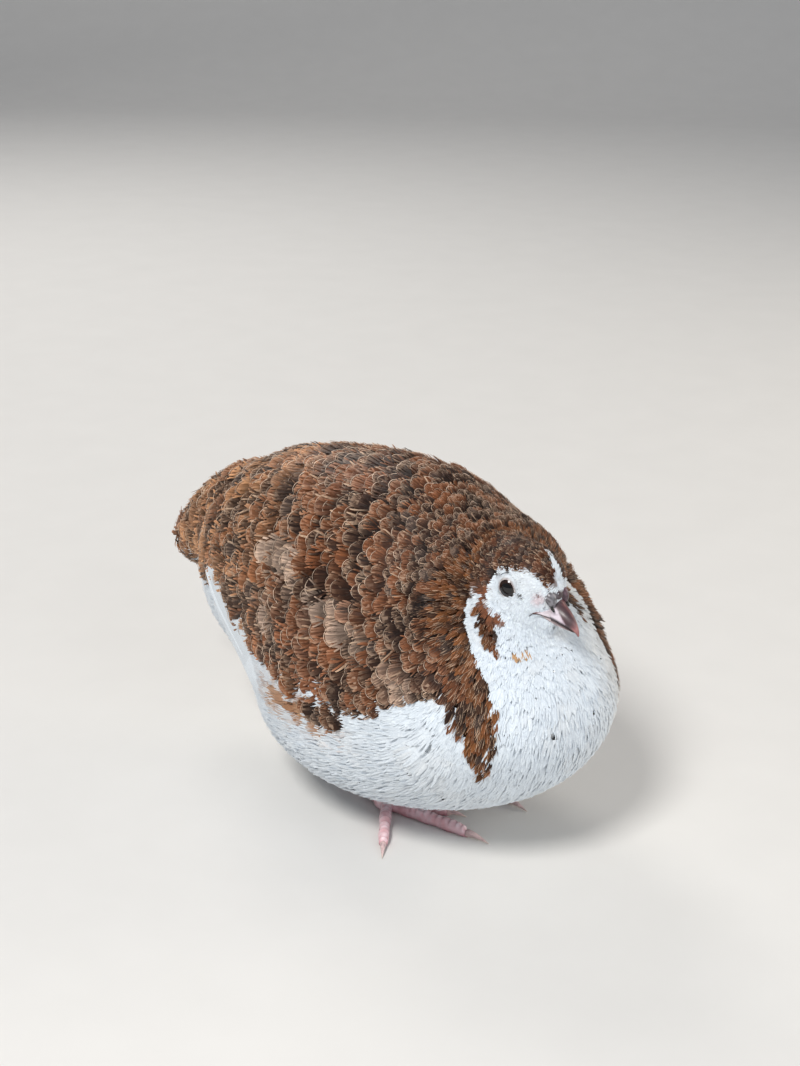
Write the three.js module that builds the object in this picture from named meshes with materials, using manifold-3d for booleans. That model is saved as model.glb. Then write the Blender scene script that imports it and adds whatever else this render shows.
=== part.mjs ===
// A coturnix quail resting low on its feet, life size, as a still museum model.
// Millimetres, +Z up. The bill points towards -Y and the bird's right side is -X.
import * as THREE from "three";
import { mergeVertices } from "three/addons/utils/BufferGeometryUtils.js";
import Module from "manifold-3d";

const wasm = await Module();
wasm.setup();

const { degToRad, lerp, smoothstep } = THREE.MathUtils;
const vec = (x, y, z) => new THREE.Vector3(x, y, z);

// Driving dimensions of the plumed body, all in millimetres and degrees.
// Each mass is an ellipsoid. A positive pitch lowers its tail end, soft is how widely it blends in.
const TRUNK = { centre: [0, -1, 48.8], radii: [44.9, 56.8, 62.2], pitch: 0.6 };
const BREAST = { centre: [0, -33.9, 47.4], radii: [41.1, 37.9, 29.5], pitch: 1, soft: 14 };
const RUMP = { centre: [0, 38.6, 67.2], radii: [33.2, 49.4, 38], pitch: 20.7, soft: 14 };
const TAIL_MASS = { centre: [0, 87.9, 70], radii: [12.6, 25.7, 11.3], pitch: 46.2, soft: 10 };
const THROAT = { centre: [0, -37.5, 64.2], radii: [26.1, 18.3, 12.9], pitch: 14.2, soft: 9 };
const RUFF = { centre: [0, -33.7, 80.7], radii: [30.9, 9.4, 18.3], pitch: 20.9, soft: 8 };
const BELLY_HEIGHT = 8.5;      // the belly's flattened underside above the floor
const BELLY_SOFT = 22;         // how widely the flanks round into that underside

// The head has axes of its own, from the midpoint between the eyes, and is tipped down by its pitch.
const EYE_MIDPOINT = vec(0, -48.7, 88.9);
const HEAD_PITCH = 10;
const HEAD_SOFT = 5;           // how widely the head sinks into the ruff
const FACE_SOFT = 4;
const SKULL = { centre: [0, 3.2, -0.6], radii: [10.3, 13.4, 10.9] };
const FACE_MASSES = [
  { name: "forehead", centre: [0, -3, 1.5], radii: [6.5, 6.5, 7.8] },
  { name: "lores", centre: [0, -7.5, -3.6], radii: [4.6, 5.2, 4.4] },
  { name: "chin", centre: [0, -7, -8.2], radii: [4.5, 6, 3.4] },
  { name: "left cheek", centre: [5.2, -0.5, -6.2], radii: [5.6, 7.5, 6.6] },
  { name: "right cheek", centre: [-5.2, -0.5, -6.2], radii: [5.6, 7.5, 6.6] },
];

const GAP = 0.35;              // clearance between neighbouring pieces
const HEAD_BALL = { centre: vec(0, -51, 88), radius: 19 };
const NECK_BALL = { centre: vec(0, -45, 81), radius: 33 };
const TAIL_CUT = { point: vec(0, 80, 72), normal: vec(0, 0.914, 0.406) };
const BALL_DETAIL = 2;         // how finely the balls that part head, neck and torso are faceted
const MERGE_WITHIN = 1e-4;
const FLAT_SLOPE = 1e-9;
const MARCH = { steps: 120, pace: 0.7, stride: 3, near: 1e-3 };
const RIGHT = -1;
const LEFT = 1;

const MAHOGANY = 0x6b3a22;
const RUFOUS = 0x8a4a28;
const WHITE = 0xf1efeb;
const HORN = 0x5b4f56;
const PALE_HORN = 0xcdbfc6;
const EYE_BLACK = 0x0d0a09;
const FLESH = 0xe7a9a4;
const CLAW_HORN = 0xe2c4b4;

// Solids: closed meshes in, joined and cut, one closed body out.
function solidOf(positions, triangles) {
  let volume = 0;
  const a = new THREE.Vector3();
  const b = new THREE.Vector3();
  const c = new THREE.Vector3();
  for (let i = 0; i < triangles.length; i += 3) {
    a.fromArray(positions, triangles[i] * 3);
    b.fromArray(positions, triangles[i + 1] * 3);
    c.fromArray(positions, triangles[i + 2] * 3);
    volume += a.dot(b.cross(c));
  }
  const outward = volume > 0 ? triangles : Array.from(triangles).reverse();
  return new wasm.Manifold(new wasm.Mesh({
    numProp: 3,
    vertProperties: new Float32Array(positions),
    triVerts: new Uint32Array(outward),
  }));
}

function solidFrom(geometry) {
  const bare = geometry.clone();
  bare.deleteAttribute("normal");
  bare.deleteAttribute("uv");
  const { attributes, index } = mergeVertices(bare, MERGE_WITHIN);
  return solidOf(attributes.position.array, index.array);
}

function largestBody(solid) {
  const bodies = solid.decompose();
  return bodies.reduce((best, body) => (body.volume() > best.volume() ? body : best));
}

function geometryOf(solid) {
  const mesh = largestBody(solid).getMesh();
  const geometry = new THREE.BufferGeometry();
  geometry.setAttribute("position", new THREE.BufferAttribute(mesh.vertProperties, mesh.numProp));
  geometry.setIndex(new THREE.BufferAttribute(mesh.triVerts, 1));
  geometry.computeVertexNormals();
  return geometry;
}

const joined = (solids) => wasm.Manifold.union(solids);

// A closed skin over a run of rings, each with the same number of points.
function loft(rings) {
  const count = rings[0].length;
  const positions = rings.flat().flatMap((p) => [p.x, p.y, p.z]);
  const triangles = [];
  for (let i = 0; i + 1 < rings.length; i++) {
    for (let j = 0; j < count; j++) {
      const k = (j + 1) % count;
      const here = i * count;
      const next = here + count;
      triangles.push(here + j, here + k, next + k, here + j, next + k, next + j);
    }
  }
  const last = (rings.length - 1) * count;
  for (let j = 1; j + 1 < count; j++) {
    triangles.push(0, j + 1, j, last, last + j, last + j + 1);
  }
  return solidOf(positions, triangles);
}

function ellipsoid(centre, radii, detail, pitch = 0) {
  const geometry = new THREE.IcosahedronGeometry(1, detail);
  geometry.scale(...radii);
  geometry.rotateX(degToRad(-pitch));
  geometry.translate(centre.x, centre.y, centre.z);
  return solidFrom(geometry);
}

const ball = ({ centre, radius }, grow = 0) => ellipsoid(centre, Array(3).fill(radius + grow), BALL_DETAIL);

// The half of space ahead of a plane, as a block far larger than the bird.
function halfSpace(point, normal) {
  const size = 400;
  const geometry = new THREE.BoxGeometry(size, size, size);
  geometry.translate(0, 0, size / 2);
  const turn = new THREE.Quaternion().setFromUnitVectors(vec(0, 0, 1), normal.clone().normalize());
  geometry.applyQuaternion(turn);
  geometry.translate(point.x, point.y, point.z);
  return solidFrom(geometry);
}

// Draws between -1 and 1 that are the same on every run.
function seeded(seed) {
  const { factor, step, range } = { factor: 1664525, step: 1013904223, range: 2 ** 32 };
  let state = seed;
  return () => {
    state = (state * factor + step) % range;
    return (2 * state) / range - 1;
  };
}

// The body's form: signed distance to the blended masses, negative inside.
function ellipsoidField(p, { centre, radii, pitch = 0 }) {
  const [rx, ry, rz] = radii;
  const cos = Math.cos(degToRad(pitch));
  const sin = Math.sin(degToRad(pitch));
  const dx = p.x - centre[0];
  const dy = p.y - centre[1];
  const dz = p.z - centre[2];
  const y = dy * cos - dz * sin;
  const z = dy * sin + dz * cos;
  const reach = Math.hypot(dx / rx, y / ry, z / rz);
  const slope = Math.hypot(dx / rx ** 2, y / ry ** 2, z / rz ** 2);
  return slope < FLAT_SLOPE ? -Math.min(rx, ry, rz) : (reach * (reach - 1)) / slope;
}

function blend(a, b, soft) {
  const near = Math.max(soft - Math.abs(a - b), 0) / soft;
  return Math.min(a, b) - (near * near * soft) / 4;
}

function headAxes(p) {
  return p.clone().sub(EYE_MIDPOINT).applyAxisAngle(vec(1, 0, 0), -degToRad(HEAD_PITCH));
}

function fromHead(x, y, z) {
  return vec(x, y, z).applyAxisAngle(vec(1, 0, 0), degToRad(HEAD_PITCH)).add(EYE_MIDPOINT);
}

function headField(p) {
  const q = headAxes(p);
  return FACE_MASSES.reduce(
    (d, mass) => blend(d, ellipsoidField(q, mass), FACE_SOFT),
    ellipsoidField(q, SKULL),
  );
}

function trunkField(p, masses) {
  const plumage = masses.reduce(
    (d, mass) => blend(d, ellipsoidField(p, mass), mass.soft),
    ellipsoidField(p, TRUNK),
  );
  return -blend(-plumage, p.z - BELLY_HEIGHT, BELLY_SOFT);
}

function bodyField(p) {
  return blend(trunkField(p, [BREAST, RUMP, TAIL_MASS, THROAT, RUFF]), headField(p), HEAD_SOFT);
}

function normalAt(field, p) {
  const step = 0.05;
  const at = (axis, move) => field(p.clone().addScaledVector(axis, move));
  const slope = (axis) => at(axis, step) - at(axis, -step);
  return vec(slope(vec(1, 0, 0)), slope(vec(0, 1, 0)), slope(vec(0, 0, 1))).normalize();
}

// A closed mesh of the surface where field = grow, seen from a centre inside it.
function cast(field, centre, detail, grow = 0) {
  const sphere = new THREE.IcosahedronGeometry(1, detail);
  const position = sphere.attributes.position;
  const direction = new THREE.Vector3();
  const p = new THREE.Vector3();
  for (let i = 0; i < position.count; i++) {
    direction.fromBufferAttribute(position, i).normalize();
    p.copy(centre);
    for (let k = 0; k < MARCH.steps; k++) {
      const inside = grow - field(p);
      if (Math.abs(inside) < MARCH.near) break;
      p.addScaledVector(direction, Math.min(inside * MARCH.pace, MARCH.stride));
    }
    position.setXYZ(i, p.x, p.y, p.z);
  }
  return solidFrom(sphere);
}

// Shapes drawn in side view, y tailward and z up, are extruded along x.
const SIDE_VIEW = new THREE.Matrix4().makeBasis(vec(0, 1, 0), vec(0, 0, 1), vec(1, 0, 0));

const quail = new THREE.Group();
const bird = new THREE.Group();
quail.add(bird);

function addPiece(name, solid, color, roughness) {
  const material = new THREE.MeshStandardMaterial({ color, roughness, metalness: 0 });
  const mesh = new THREE.Mesh(geometryOf(solid), material);
  mesh.name = name;
  bird.add(mesh);
}

// Folded wings lie in a bed in the flank, so that the outline runs over their feathers.
// In side view each is two ellipses: the arm with its coverts, and the hand with the primaries.
const WING_DEPTH = 5;
const WING_BEDS = [
  { y: 11, z: 71, length: 55, height: 23, tilt: 4 },
  { y: 46, z: 50.5, length: 31, height: 10.5, tilt: 20 },
];
const WING_SEGMENTS = 7;
const HALF_SPAN = 60;          // farther out than the flanks

const trunkForm = (grow) => cast(torsoField, TORSO_CENTRE, TORSO_DETAIL, grow);
const torsoField = (p) => trunkField(p, [BREAST, RUMP, THROAT, RUFF]);
const TORSO_CENTRE = vec(0, 4, 58);
const TORSO_DETAIL = 6;

// What lies within the wing's outline on one side, as seen from that side.
function wingOutline(side, grow) {
  return joined(WING_BEDS.map(({ y, z, length, height, tilt }) => {
    const shape = new THREE.Shape();
    shape.absellipse(y, z, length + grow, height + grow, 0, Math.PI * 2, false, degToRad(tilt));
    const form = { depth: HALF_SPAN, bevelEnabled: false, curveSegments: WING_SEGMENTS };
    const geometry = new THREE.ExtrudeGeometry(shape, form);
    if (side === RIGHT) geometry.translate(0, 0, -HALF_SPAN);
    geometry.applyMatrix4(SIDE_VIEW);
    return solidFrom(geometry);
  }));
}

// The torso grown by a clearance, with the beds' walls and floors moved as far the same way.
function torsoBlock(grow) {
  const beds = [RIGHT, LEFT].map((side) => wingOutline(side, GAP - grow));
  const floor = trunkForm(grow - GAP - WING_DEPTH);
  return trunkForm(grow).subtract(joined(beds).subtract(floor));
}

const torsoClearance = torsoBlock(GAP);

function buildTorso() {
  return torsoBlock(0)
    .subtract(ball(NECK_BALL, GAP))
    .subtract(halfSpace(TAIL_CUT.point, TAIL_CUT.normal));
}

const NECK_CENTRE = vec(0, -42, 78);
const NECK_DETAIL = 5;

function buildNeck() {
  return cast(bodyField, NECK_CENTRE, NECK_DETAIL)
    .intersect(ball(NECK_BALL))
    .subtract(ball(HEAD_BALL, GAP));
}

// The bill, in the head's axes.
// A station has the height of the mouth, the bill's depth from there and its half width.
const UPPER_BILL = [
  { y: -6, mouth: -6.3, depth: 5.4, half: 4 },
  { y: -9.5, mouth: -5.6, depth: 5.6, half: 3.7 },
  { y: -11.5, mouth: -5.7, depth: 4.5, half: 3.25 },
  { y: -14, mouth: -6, depth: 3.4, half: 2.6 },
  { y: -16.5, mouth: -6.4, depth: 2.5, half: 1.95 },
  { y: -18.8, mouth: -7, depth: 1.6, half: 1.2 },
  { y: -20.3, mouth: -7.8, depth: 0.8, half: 0.55 },
  { y: -20.8, mouth: -8.3, depth: 0.5, half: 0.3 },
];
const LOWER_BILL = [
  { y: -6, mouth: -6.6, depth: 2.2, half: 3.6 },
  { y: -10, mouth: -5.9, depth: 2.2, half: 3.3 },
  { y: -13, mouth: -6.2, depth: 2, half: 2.6 },
  { y: -16, mouth: -6.65, depth: 1.5, half: 1.8 },
  { y: -18.4, mouth: -7.25, depth: 0.8, half: 1 },
  { y: -19.2, mouth: -7.6, depth: 0.45, half: 0.5 },
];
// Sections as parts of the half width and of the depth, round the upper bill and round the lower one.
const UPPER_SECTION = [
  [-1, 0], [-0.93, 0.42], [-0.58, 0.82], [0, 1], [0.58, 0.82], [0.93, 0.42], [1, 0], [0, 0.1],
];
const LOWER_SECTION = [[-1, 0], [0, 0], [1, 0], [0.86, -0.6], [0.4, -0.94], [-0.4, -0.94], [-0.86, -0.6]];
const NOSTRIL_FLAP = { at: [2.45, -10.6, -0.6], radii: [0.9, 2.3, 1.25], pitch: -44, detail: 1 };
const NOSTRIL = { at: [3.15, -12.1, -2.2], radii: [0.7, 1, 0.45], pitch: -30, detail: 0 };

function billForm(stations, section, grow = 0) {
  const heights = section.map(([, up]) => up);
  const middle = (Math.min(...heights) + Math.max(...heights)) / 2;
  return loft(stations.map(({ y, mouth, depth, half }) => section.map(([across, up]) => {
    const x = across * (half + grow);
    const z = mouth + up * depth + Math.sign(up - middle) * grow;
    return fromHead(x, y, z);
  })));
}

function headLump({ at, radii, pitch, detail }, side, grow = 0) {
  const [x, y, z] = at;
  return ellipsoid(fromHead(side * x, y, z), radii.map((r) => r + grow), detail, pitch - HEAD_PITCH);
}

function upperBill(grow = 0) {
  const flaps = [RIGHT, LEFT].map((side) => headLump(NOSTRIL_FLAP, side, grow));
  return joined([billForm(UPPER_BILL, UPPER_SECTION, grow), ...flaps]);
}

function buildUpperBill() {
  const nostrils = [RIGHT, LEFT].map((side) => headLump(NOSTRIL, side));
  return upperBill().subtract(joined(nostrils));
}

// The eyeball stands 3 mm deep in the face, behind a raised ring of lid.
const EYE = { radius: 4.3, opening: [9.8, 0, 0], axis: [0.93, -0.33, 0.08], depth: 3, detail: 2 };
const LID = { radius: 3.6, tube: 0.85, lift: 3.5, sides: 4, segments: 11 };

function eyePlace(side) {
  const [x, y, z] = EYE.axis;
  const outward = vec(side * x, y, z).normalize();
  const [ox, oy, oz] = EYE.opening;
  const centre = vec(side * ox, oy, oz).addScaledVector(outward, -EYE.depth);
  return { centre, outward };
}

function eyeball(side, grow = 0) {
  const { centre } = eyePlace(side);
  return ellipsoid(fromHead(centre.x, centre.y, centre.z), Array(3).fill(EYE.radius + grow), EYE.detail);
}

function lidRing(side) {
  const { centre, outward } = eyePlace(side);
  const geometry = new THREE.TorusGeometry(LID.radius, LID.tube, LID.sides, LID.segments);
  const facing = new THREE.Quaternion().setFromUnitVectors(vec(0, 0, 1), outward);
  geometry.applyQuaternion(facing);
  const at = centre.addScaledVector(outward, LID.lift);
  geometry.translate(at.x, at.y, at.z);
  return solidFrom(headGeometry(geometry));
}

function headGeometry(geometry) {
  geometry.rotateX(degToRad(HEAD_PITCH));
  geometry.translate(EYE_MIDPOINT.x, EYE_MIDPOINT.y, EYE_MIDPOINT.z);
  return geometry;
}

// The line of the mouth runs back over the face from the bill to the gape.
const MOUTH_LINE = [[-14, -6.1], [-10.1, -5.6], [-7.8, -6], [-5.8, -7.6]];
const MOUTH_OPENING = 0.45;
const MOUTH_WIDTH = 16;

function mouthSlot() {
  const upper = MOUTH_LINE.map(([y, z]) => new THREE.Vector2(y, z + MOUTH_OPENING / 2));
  const lower = MOUTH_LINE.map(([y, z]) => new THREE.Vector2(y, z - MOUTH_OPENING / 2));
  const shape = new THREE.Shape([...upper, ...lower.reverse()]);
  const geometry = new THREE.ExtrudeGeometry(shape, { depth: MOUTH_WIDTH, bevelEnabled: false });
  geometry.translate(0, 0, -MOUTH_WIDTH / 2);
  geometry.applyMatrix4(SIDE_VIEW);
  return solidFrom(headGeometry(geometry));
}

const HEAD_CENTRE = vec(0, -46, 88);
const HEAD_DETAIL = 5;

function buildHead() {
  const lids = [RIGHT, LEFT].map((side) => lidRing(side));
  const cuts = [
    upperBill(GAP),
    billForm(LOWER_BILL, LOWER_SECTION, GAP),
    mouthSlot(),
    ...[RIGHT, LEFT].map((side) => eyeball(side, GAP)),
  ];
  return joined([cast(bodyField, HEAD_CENTRE, HEAD_DETAIL).intersect(ball(HEAD_BALL)), ...lids])
    .subtract(joined(cuts));
}

// Feathers: each is one vane that tapers, lies along the body and rises a little towards its tip.
const VANE_THICKNESS = 0.6;
const VANE_PROFILE = { root: 0.6, fullFrom: 0.3, taperFrom: 0.6, tip: 0.4 };
const RISEN = 0.2;             // past this part of its length a feather lies clear of the skin
const SHORT_STATIONS = [0, RISEN, 1];
const COVERT_STATIONS = [0, RISEN, 0.7, 1];
const FLIGHT_STATIONS = [0, RISEN, 0.6, 0.85, 1];
const FLIGHT_LENGTH = 20;      // feathers longer than this follow the body in more steps
const COVERT_LENGTH = 17;      // feathers no longer than this are the plainest

const stationsOf = (length) => {
  if (length > FLIGHT_LENGTH) return FLIGHT_STATIONS;
  return length > COVERT_LENGTH ? COVERT_STATIONS : SHORT_STATIONS;
};

function framesOnBody({ root, heading, length, stations, lifts, free = 1 }) {
  const p = root.clone();
  let up = normalAt(bodyField, p);
  return stations.map((t, i) => {
    const lift = t < RISEN ? lifts.root : lerp(lifts.risen, lifts.tip, (t - RISEN) / (1 - RISEN));
    for (let k = 0; k < 3 && t <= free; k++) {
      up = normalAt(bodyField, p);
      p.addScaledVector(up, lift - bodyField(p));
    }
    const along = heading.clone().addScaledVector(up, -heading.dot(up)).normalize();
    const frame = { t, point: p.clone(), up: up.clone(), along };
    if (i + 1 < stations.length) p.addScaledVector(along, length * (stations[i + 1] - t));
    return frame;
  });
}

function vaneWidth(t) {
  const { root, fullFrom, taperFrom, tip } = VANE_PROFILE;
  const spread = lerp(root, 1, smoothstep(t, 0, fullFrom));
  const taper = smoothstep(t, taperFrom, 1);
  return spread * Math.sqrt(1 - (1 - tip ** 2) * taper ** 2);
}

// Over is the side whose edge lies on top of the next vane, by the roll.
function vane(frames, { width, roll, over }) {
  const angle = degToRad(roll);
  const top = [];
  const bottom = [];
  for (const { t, point, up, along } of frames) {
    const side = along.clone().cross(up);
    if (side.dot(over) < 0) side.negate();
    const across = side.clone().multiplyScalar(Math.cos(angle)).addScaledVector(up, Math.sin(angle));
    const normal = up.clone().multiplyScalar(Math.cos(angle)).addScaledVector(side, -Math.sin(angle));
    for (const edge of [-1, 1]) {
      const p = point.clone().addScaledVector(across, (edge * width * vaneWidth(t)) / 2);
      top.push(p);
      bottom.push(p.clone().addScaledVector(normal, -VANE_THICKNESS));
    }
  }
  return slab(top, bottom, frames.length);
}

// A thin closed strip from pairs of edge points, with the same pairs on its underside.
function slab(top, bottom, rows) {
  const positions = [...top, ...bottom].flatMap((p) => [p.x, p.y, p.z]);
  const under = top.length;
  const triangles = [];
  for (let row = 0; row + 1 < rows; row++) {
    const a = 2 * row;
    const [b, c, d] = [a + 1, a + 2, a + 3];
    triangles.push(a, b, d, a, d, c);
    triangles.push(under + a, under + d, under + b, under + a, under + c, under + d);
  }
  const rim = [0, 1];
  for (let row = 1; row < rows; row++) rim.push(2 * row + 1);
  for (let row = rows - 1; row > 0; row--) rim.push(2 * row);
  rim.forEach((a, i) => {
    const b = rim[(i + 1) % rim.length];
    triangles.push(a, under + a, under + b, a, under + b, b);
  });
  return solidOf(positions, triangles);
}

// The folded wing, in side view: y runs tailward, z up.
const WING_SKIN = -1.8;
const WING_LIFTS = { root: -3.4, risen: -1.3, tip: 0.3 };
const WING_TIERS = [
  { name: "small coverts", low: [-33, 55], high: [-33, 81], count: 3, length: 16, width: 13 },
  { name: "lesser coverts", low: [-21, 50], high: [-20, 88], count: 4, length: 17, width: 13 },
  { name: "median coverts", low: [-8, 48], high: [-6, 91], count: 4, length: 18, width: 14.5 },
  { name: "greater coverts", low: [5, 48], high: [9, 92], count: 5, length: 20, width: 13 },
  { name: "secondaries", low: [18, 52], high: [22, 88], count: 4, length: 32, width: 13 },
  { name: "tertials", low: [34, 62], high: [37, 85], count: 2, length: 36, width: 15 },
];
const LOW_RISE = 8;            // degrees that the lowest feathers climb tailward
const HIGH_FALL = 17;          // degrees that the highest ones drop
const COVERT_ROLL = 8;
const PRIMARIES = {
  low: [16, 40.5], high: [20, 53], count: 4, length: 57, width: 10, rise: [11, 16], roll: 20,
};
const SCAPULARS = { from: 138, to: 45, count: 3, length: 23, width: 12, fall: 27 };
const SCAPULAR_LIFTS = { root: -3, risen: -0.6, tip: 1.2 };
const MARGIN = 0.9;            // scapulars spring from near the bed's rim, this part of the way out
const WING_SEEDS = { [RIGHT]: 11, [LEFT]: 23 };
const STRAY = { place: 0.8, heading: 2.5, length: 0.06 };

function onFlank(side, y, z, lift) {
  const p = vec(side * HALF_SPAN, y, z);
  for (let k = 0; k < MARCH.steps; k++) {
    const off = bodyField(p) - lift;
    if (Math.abs(off) < MARCH.near) break;
    p.x -= side * off * MARCH.pace;
  }
  return p;
}

const inSideView = (fall) => vec(0, Math.cos(degToRad(fall)), -Math.sin(degToRad(fall)));

const DOWN = vec(0, 0, -1);

function wingTier(side, tier, stray) {
  return Array.from({ length: tier.count }, (_, i) => {
    const u = i / (tier.count - 1);
    const y = lerp(tier.low[0], tier.high[0], u) + stray() * STRAY.place;
    const z = lerp(tier.low[1], tier.high[1], u);
    const frames = framesOnBody({
      root: onFlank(side, y, z, WING_LIFTS.root),
      heading: inSideView(lerp(-LOW_RISE, HIGH_FALL, u) + stray() * STRAY.heading),
      length: tier.length * (1 + stray() * STRAY.length),
      stations: stationsOf(tier.length),
      lifts: WING_LIFTS,
    });
    return vane(frames, { width: tier.width, roll: COVERT_ROLL, over: DOWN });
  });
}

function primaries(side, stray) {
  const { low, high, count, length, width, rise, roll } = PRIMARIES;
  return Array.from({ length: count }, (_, i) => {
    const u = i / (count - 1);
    const frames = framesOnBody({
      root: onFlank(side, lerp(low[0], high[0], u), lerp(low[1], high[1], u), WING_LIFTS.root),
      heading: inSideView(-lerp(rise[0], rise[1], u)),
      length: length + stray(),
      stations: FLIGHT_STATIONS,
      lifts: WING_LIFTS,
    });
    return vane(frames, { width, roll, over: DOWN });
  });
}

function scapulars(side, stray) {
  const [bed] = WING_BEDS;
  const { from, to, count, length, width, fall } = SCAPULARS;
  return Array.from({ length: count }, (_, i) => {
    const angle = degToRad(lerp(from, to, i / (count - 1)));
    const y = bed.y + MARGIN * bed.length * Math.cos(angle);
    const z = bed.z + MARGIN * bed.height * Math.sin(angle);
    const frames = framesOnBody({
      root: onFlank(side, y, z, SCAPULAR_LIFTS.root),
      heading: inSideView(fall + stray() * STRAY.heading),
      length: length * (1 + stray() * STRAY.length),
      stations: COVERT_STATIONS,
      lifts: SCAPULAR_LIFTS,
    });
    return vane(frames, { width, roll: COVERT_ROLL, over: DOWN });
  });
}

// The wing's own hand and arm: the layer between its bed and its skin.
function wingPad(side) {
  return trunkForm(WING_SKIN).intersect(wingOutline(side, 0));
}

function buildWing(side) {
  const stray = seeded(WING_SEEDS[side]);
  const feathers = WING_TIERS.flatMap((tier) => wingTier(side, tier, stray));
  return joined([wingPad(side), ...feathers, ...primaries(side, stray), ...scapulars(side, stray)])
    .subtract(torsoClearance)
    .subtract(ball(NECK_BALL, GAP))
    .intersect(wingOutline(side, 0));
}

// The tail droops from the rump. Its feathers stand round an axis that runs down through it.
const TAIL_FROM = vec(0, 76, 82);
const TAIL_DROOP = 46;
const TAIL_THICK = 13;         // no root lies farther than this from the axis
const TAIL_CORE = { centre: vec(0, 80, 72), radius: 18 };
const TAIL_SKIN = -2.2;
const TAIL_ROLL = 10;
const TAIL_ROUNDING = 0.12;    // how much shorter the outermost feathers are
const TAIL_FREE = 0.75;        // past this part of its length a feather runs on straight
const TAIL_SEED = 31;
const TAIL_CORE_FROM = vec(0, 84, 74);
const TAIL_CORE_DETAIL = 3;
const TAIL_TIERS = [
  { name: "upper coverts", start: 3, spread: 100, count: 4, length: 17, width: 11, risen: -1.6, tip: 0.4 },
  { name: "rear coverts", start: 12, spread: 95, count: 4, length: 17, width: 11, risen: -1.6, tip: -0.2 },
  { name: "rectrices", start: 18, spread: 88, count: 6, length: 23, width: 10, risen: -1.8, tip: -0.8 },
  {
    name: "under coverts", below: true,
    start: 27, spread: 45, count: 2, length: 12, width: 10, risen: -1.6, tip: -0.6,
  },
];
const TAIL_ROOT_LIFT = -4;

function tailRoot(from, out, lift) {
  let reach = 0;
  const p = from.clone();
  for (let k = 0; k < MARCH.steps && reach < TAIL_THICK; k++) {
    reach += Math.min((lift - bodyField(p)) * MARCH.pace, MARCH.stride);
    p.copy(from).addScaledVector(out, reach);
  }
  return p;
}

function tailTier({ start, spread, count, length, width, risen, tip, below = false }, stray) {
  const along = inSideView(TAIL_DROOP);
  const above = vec(0, -along.z, along.y);
  return Array.from({ length: count }, (_, i) => {
    const u = (2 * i) / (count - 1) - 1;
    const angle = degToRad(u * spread + (below ? 180 : 0));
    const out = vec(Math.sin(angle), 0, 0).addScaledVector(above, Math.cos(angle));
    const frames = framesOnBody({
      root: tailRoot(TAIL_FROM.clone().addScaledVector(along, start), out, TAIL_ROOT_LIFT),
      heading: along,
      length: length * (1 + stray() * STRAY.length) * (1 - TAIL_ROUNDING * u ** 2),
      stations: stationsOf(length),
      lifts: { root: TAIL_ROOT_LIFT, risen, tip },
      free: TAIL_FREE,
    });
    const over = vec(u === 0 ? 1 : Math.sign(u), 0, 0);
    return vane(frames, { width, roll: u === 0 ? 0 : TAIL_ROLL, over });
  });
}

function buildTail() {
  const stray = seeded(TAIL_SEED);
  const core = cast(bodyField, TAIL_CORE_FROM, TAIL_CORE_DETAIL, TAIL_SKIN).intersect(ball(TAIL_CORE));
  const beyond = TAIL_CUT.point.clone().addScaledVector(TAIL_CUT.normal, GAP);
  return joined([core, ...TAIL_TIERS.flatMap((tier) => tailTier(tier, stray))])
    .intersect(halfSpace(beyond, TAIL_CUT.normal));
}

// Feet. The bird crouches, so each shank lies back along the floor from the foot to the hock.
const FEET = [
  {
    name: "right", side: RIGHT,
    foot: [-12.5, -4.5], hock: [-9, 25], turns: { 1: -125, 2: -34, 3: -11, 4: 47 },
  },
  { name: "left", side: LEFT, foot: [17, 1.5], hock: [13, 30], turns: { 1: -125, 2: -22, 3: 2, 4: 47 } },
];
const TOES = [
  { digit: 1, length: 8, claw: 3.8, half: 1.5, scutes: 2 },
  { digit: 2, length: 20, claw: 5.5, half: 1.9, scutes: 6 },
  { digit: 3, length: 30.5, claw: 7.5, half: 2.15, scutes: 9 },
  { digit: 4, length: 25, claw: 6, half: 1.95, scutes: 7 },
];
const SCUTE_RISE = 0.3;
const SCUTE_FRONT = 0.12;      // a scute is highest this part of the way along
const SCUTE_SIDE = 0.5;        // how much of its rise reaches the toe's sides
const LIMB_SIDES = 6;
const TOE = {
  root: 1.06, tip: 0.74, end: 0.93, blunt: 0.3, pads: 5, padSwell: 0.16, tall: 1.02, height: 0.86,
};
const CLAW_STATIONS = [0, 0.25, 0.5, 0.75, 1];
const CLAW = {
  root: 0.92, slim: 0.85, tip: 0.16, taper: 1.3, height: 1.05, droop: 0.86, curve: 1.8, under: 0.9,
};
const SHANK = {
  half: 2.1, hockHalf: 3, footHalf: 2.7, footEnd: 0.25, hockFrom: 0.7, scutes: 6, arch: 0.6, sunk: 0.92,
};
const PALM = { radii: [4.4, 4.8, 3.3], sunk: 0.25, detail: 1 };
const THIGH = { radii: [7.5, 11, 6], height: 10, forward: 1, floor: 2.5, detail: 1 };

// A ring across a toe or shank that goes along heading. Its underside is flat where it meets the floor.
function limbRing(centre, heading, half, tall, ridge) {
  const across = vec(-heading.y, heading.x, 0).normalize();
  return Array.from({ length: LIMB_SIDES }, (_, i) => {
    const angle = (2 * Math.PI * (i + 0.5)) / LIMB_SIDES;
    const rise = ridge * Math.max(Math.sin(angle), 0);
    const p = centre.clone().addScaledVector(across, Math.cos(angle) * (half + ridge * SCUTE_SIDE));
    p.z = Math.max(centre.z + Math.sin(angle) * (tall + rise), 0);
    return p;
  });
}

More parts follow.
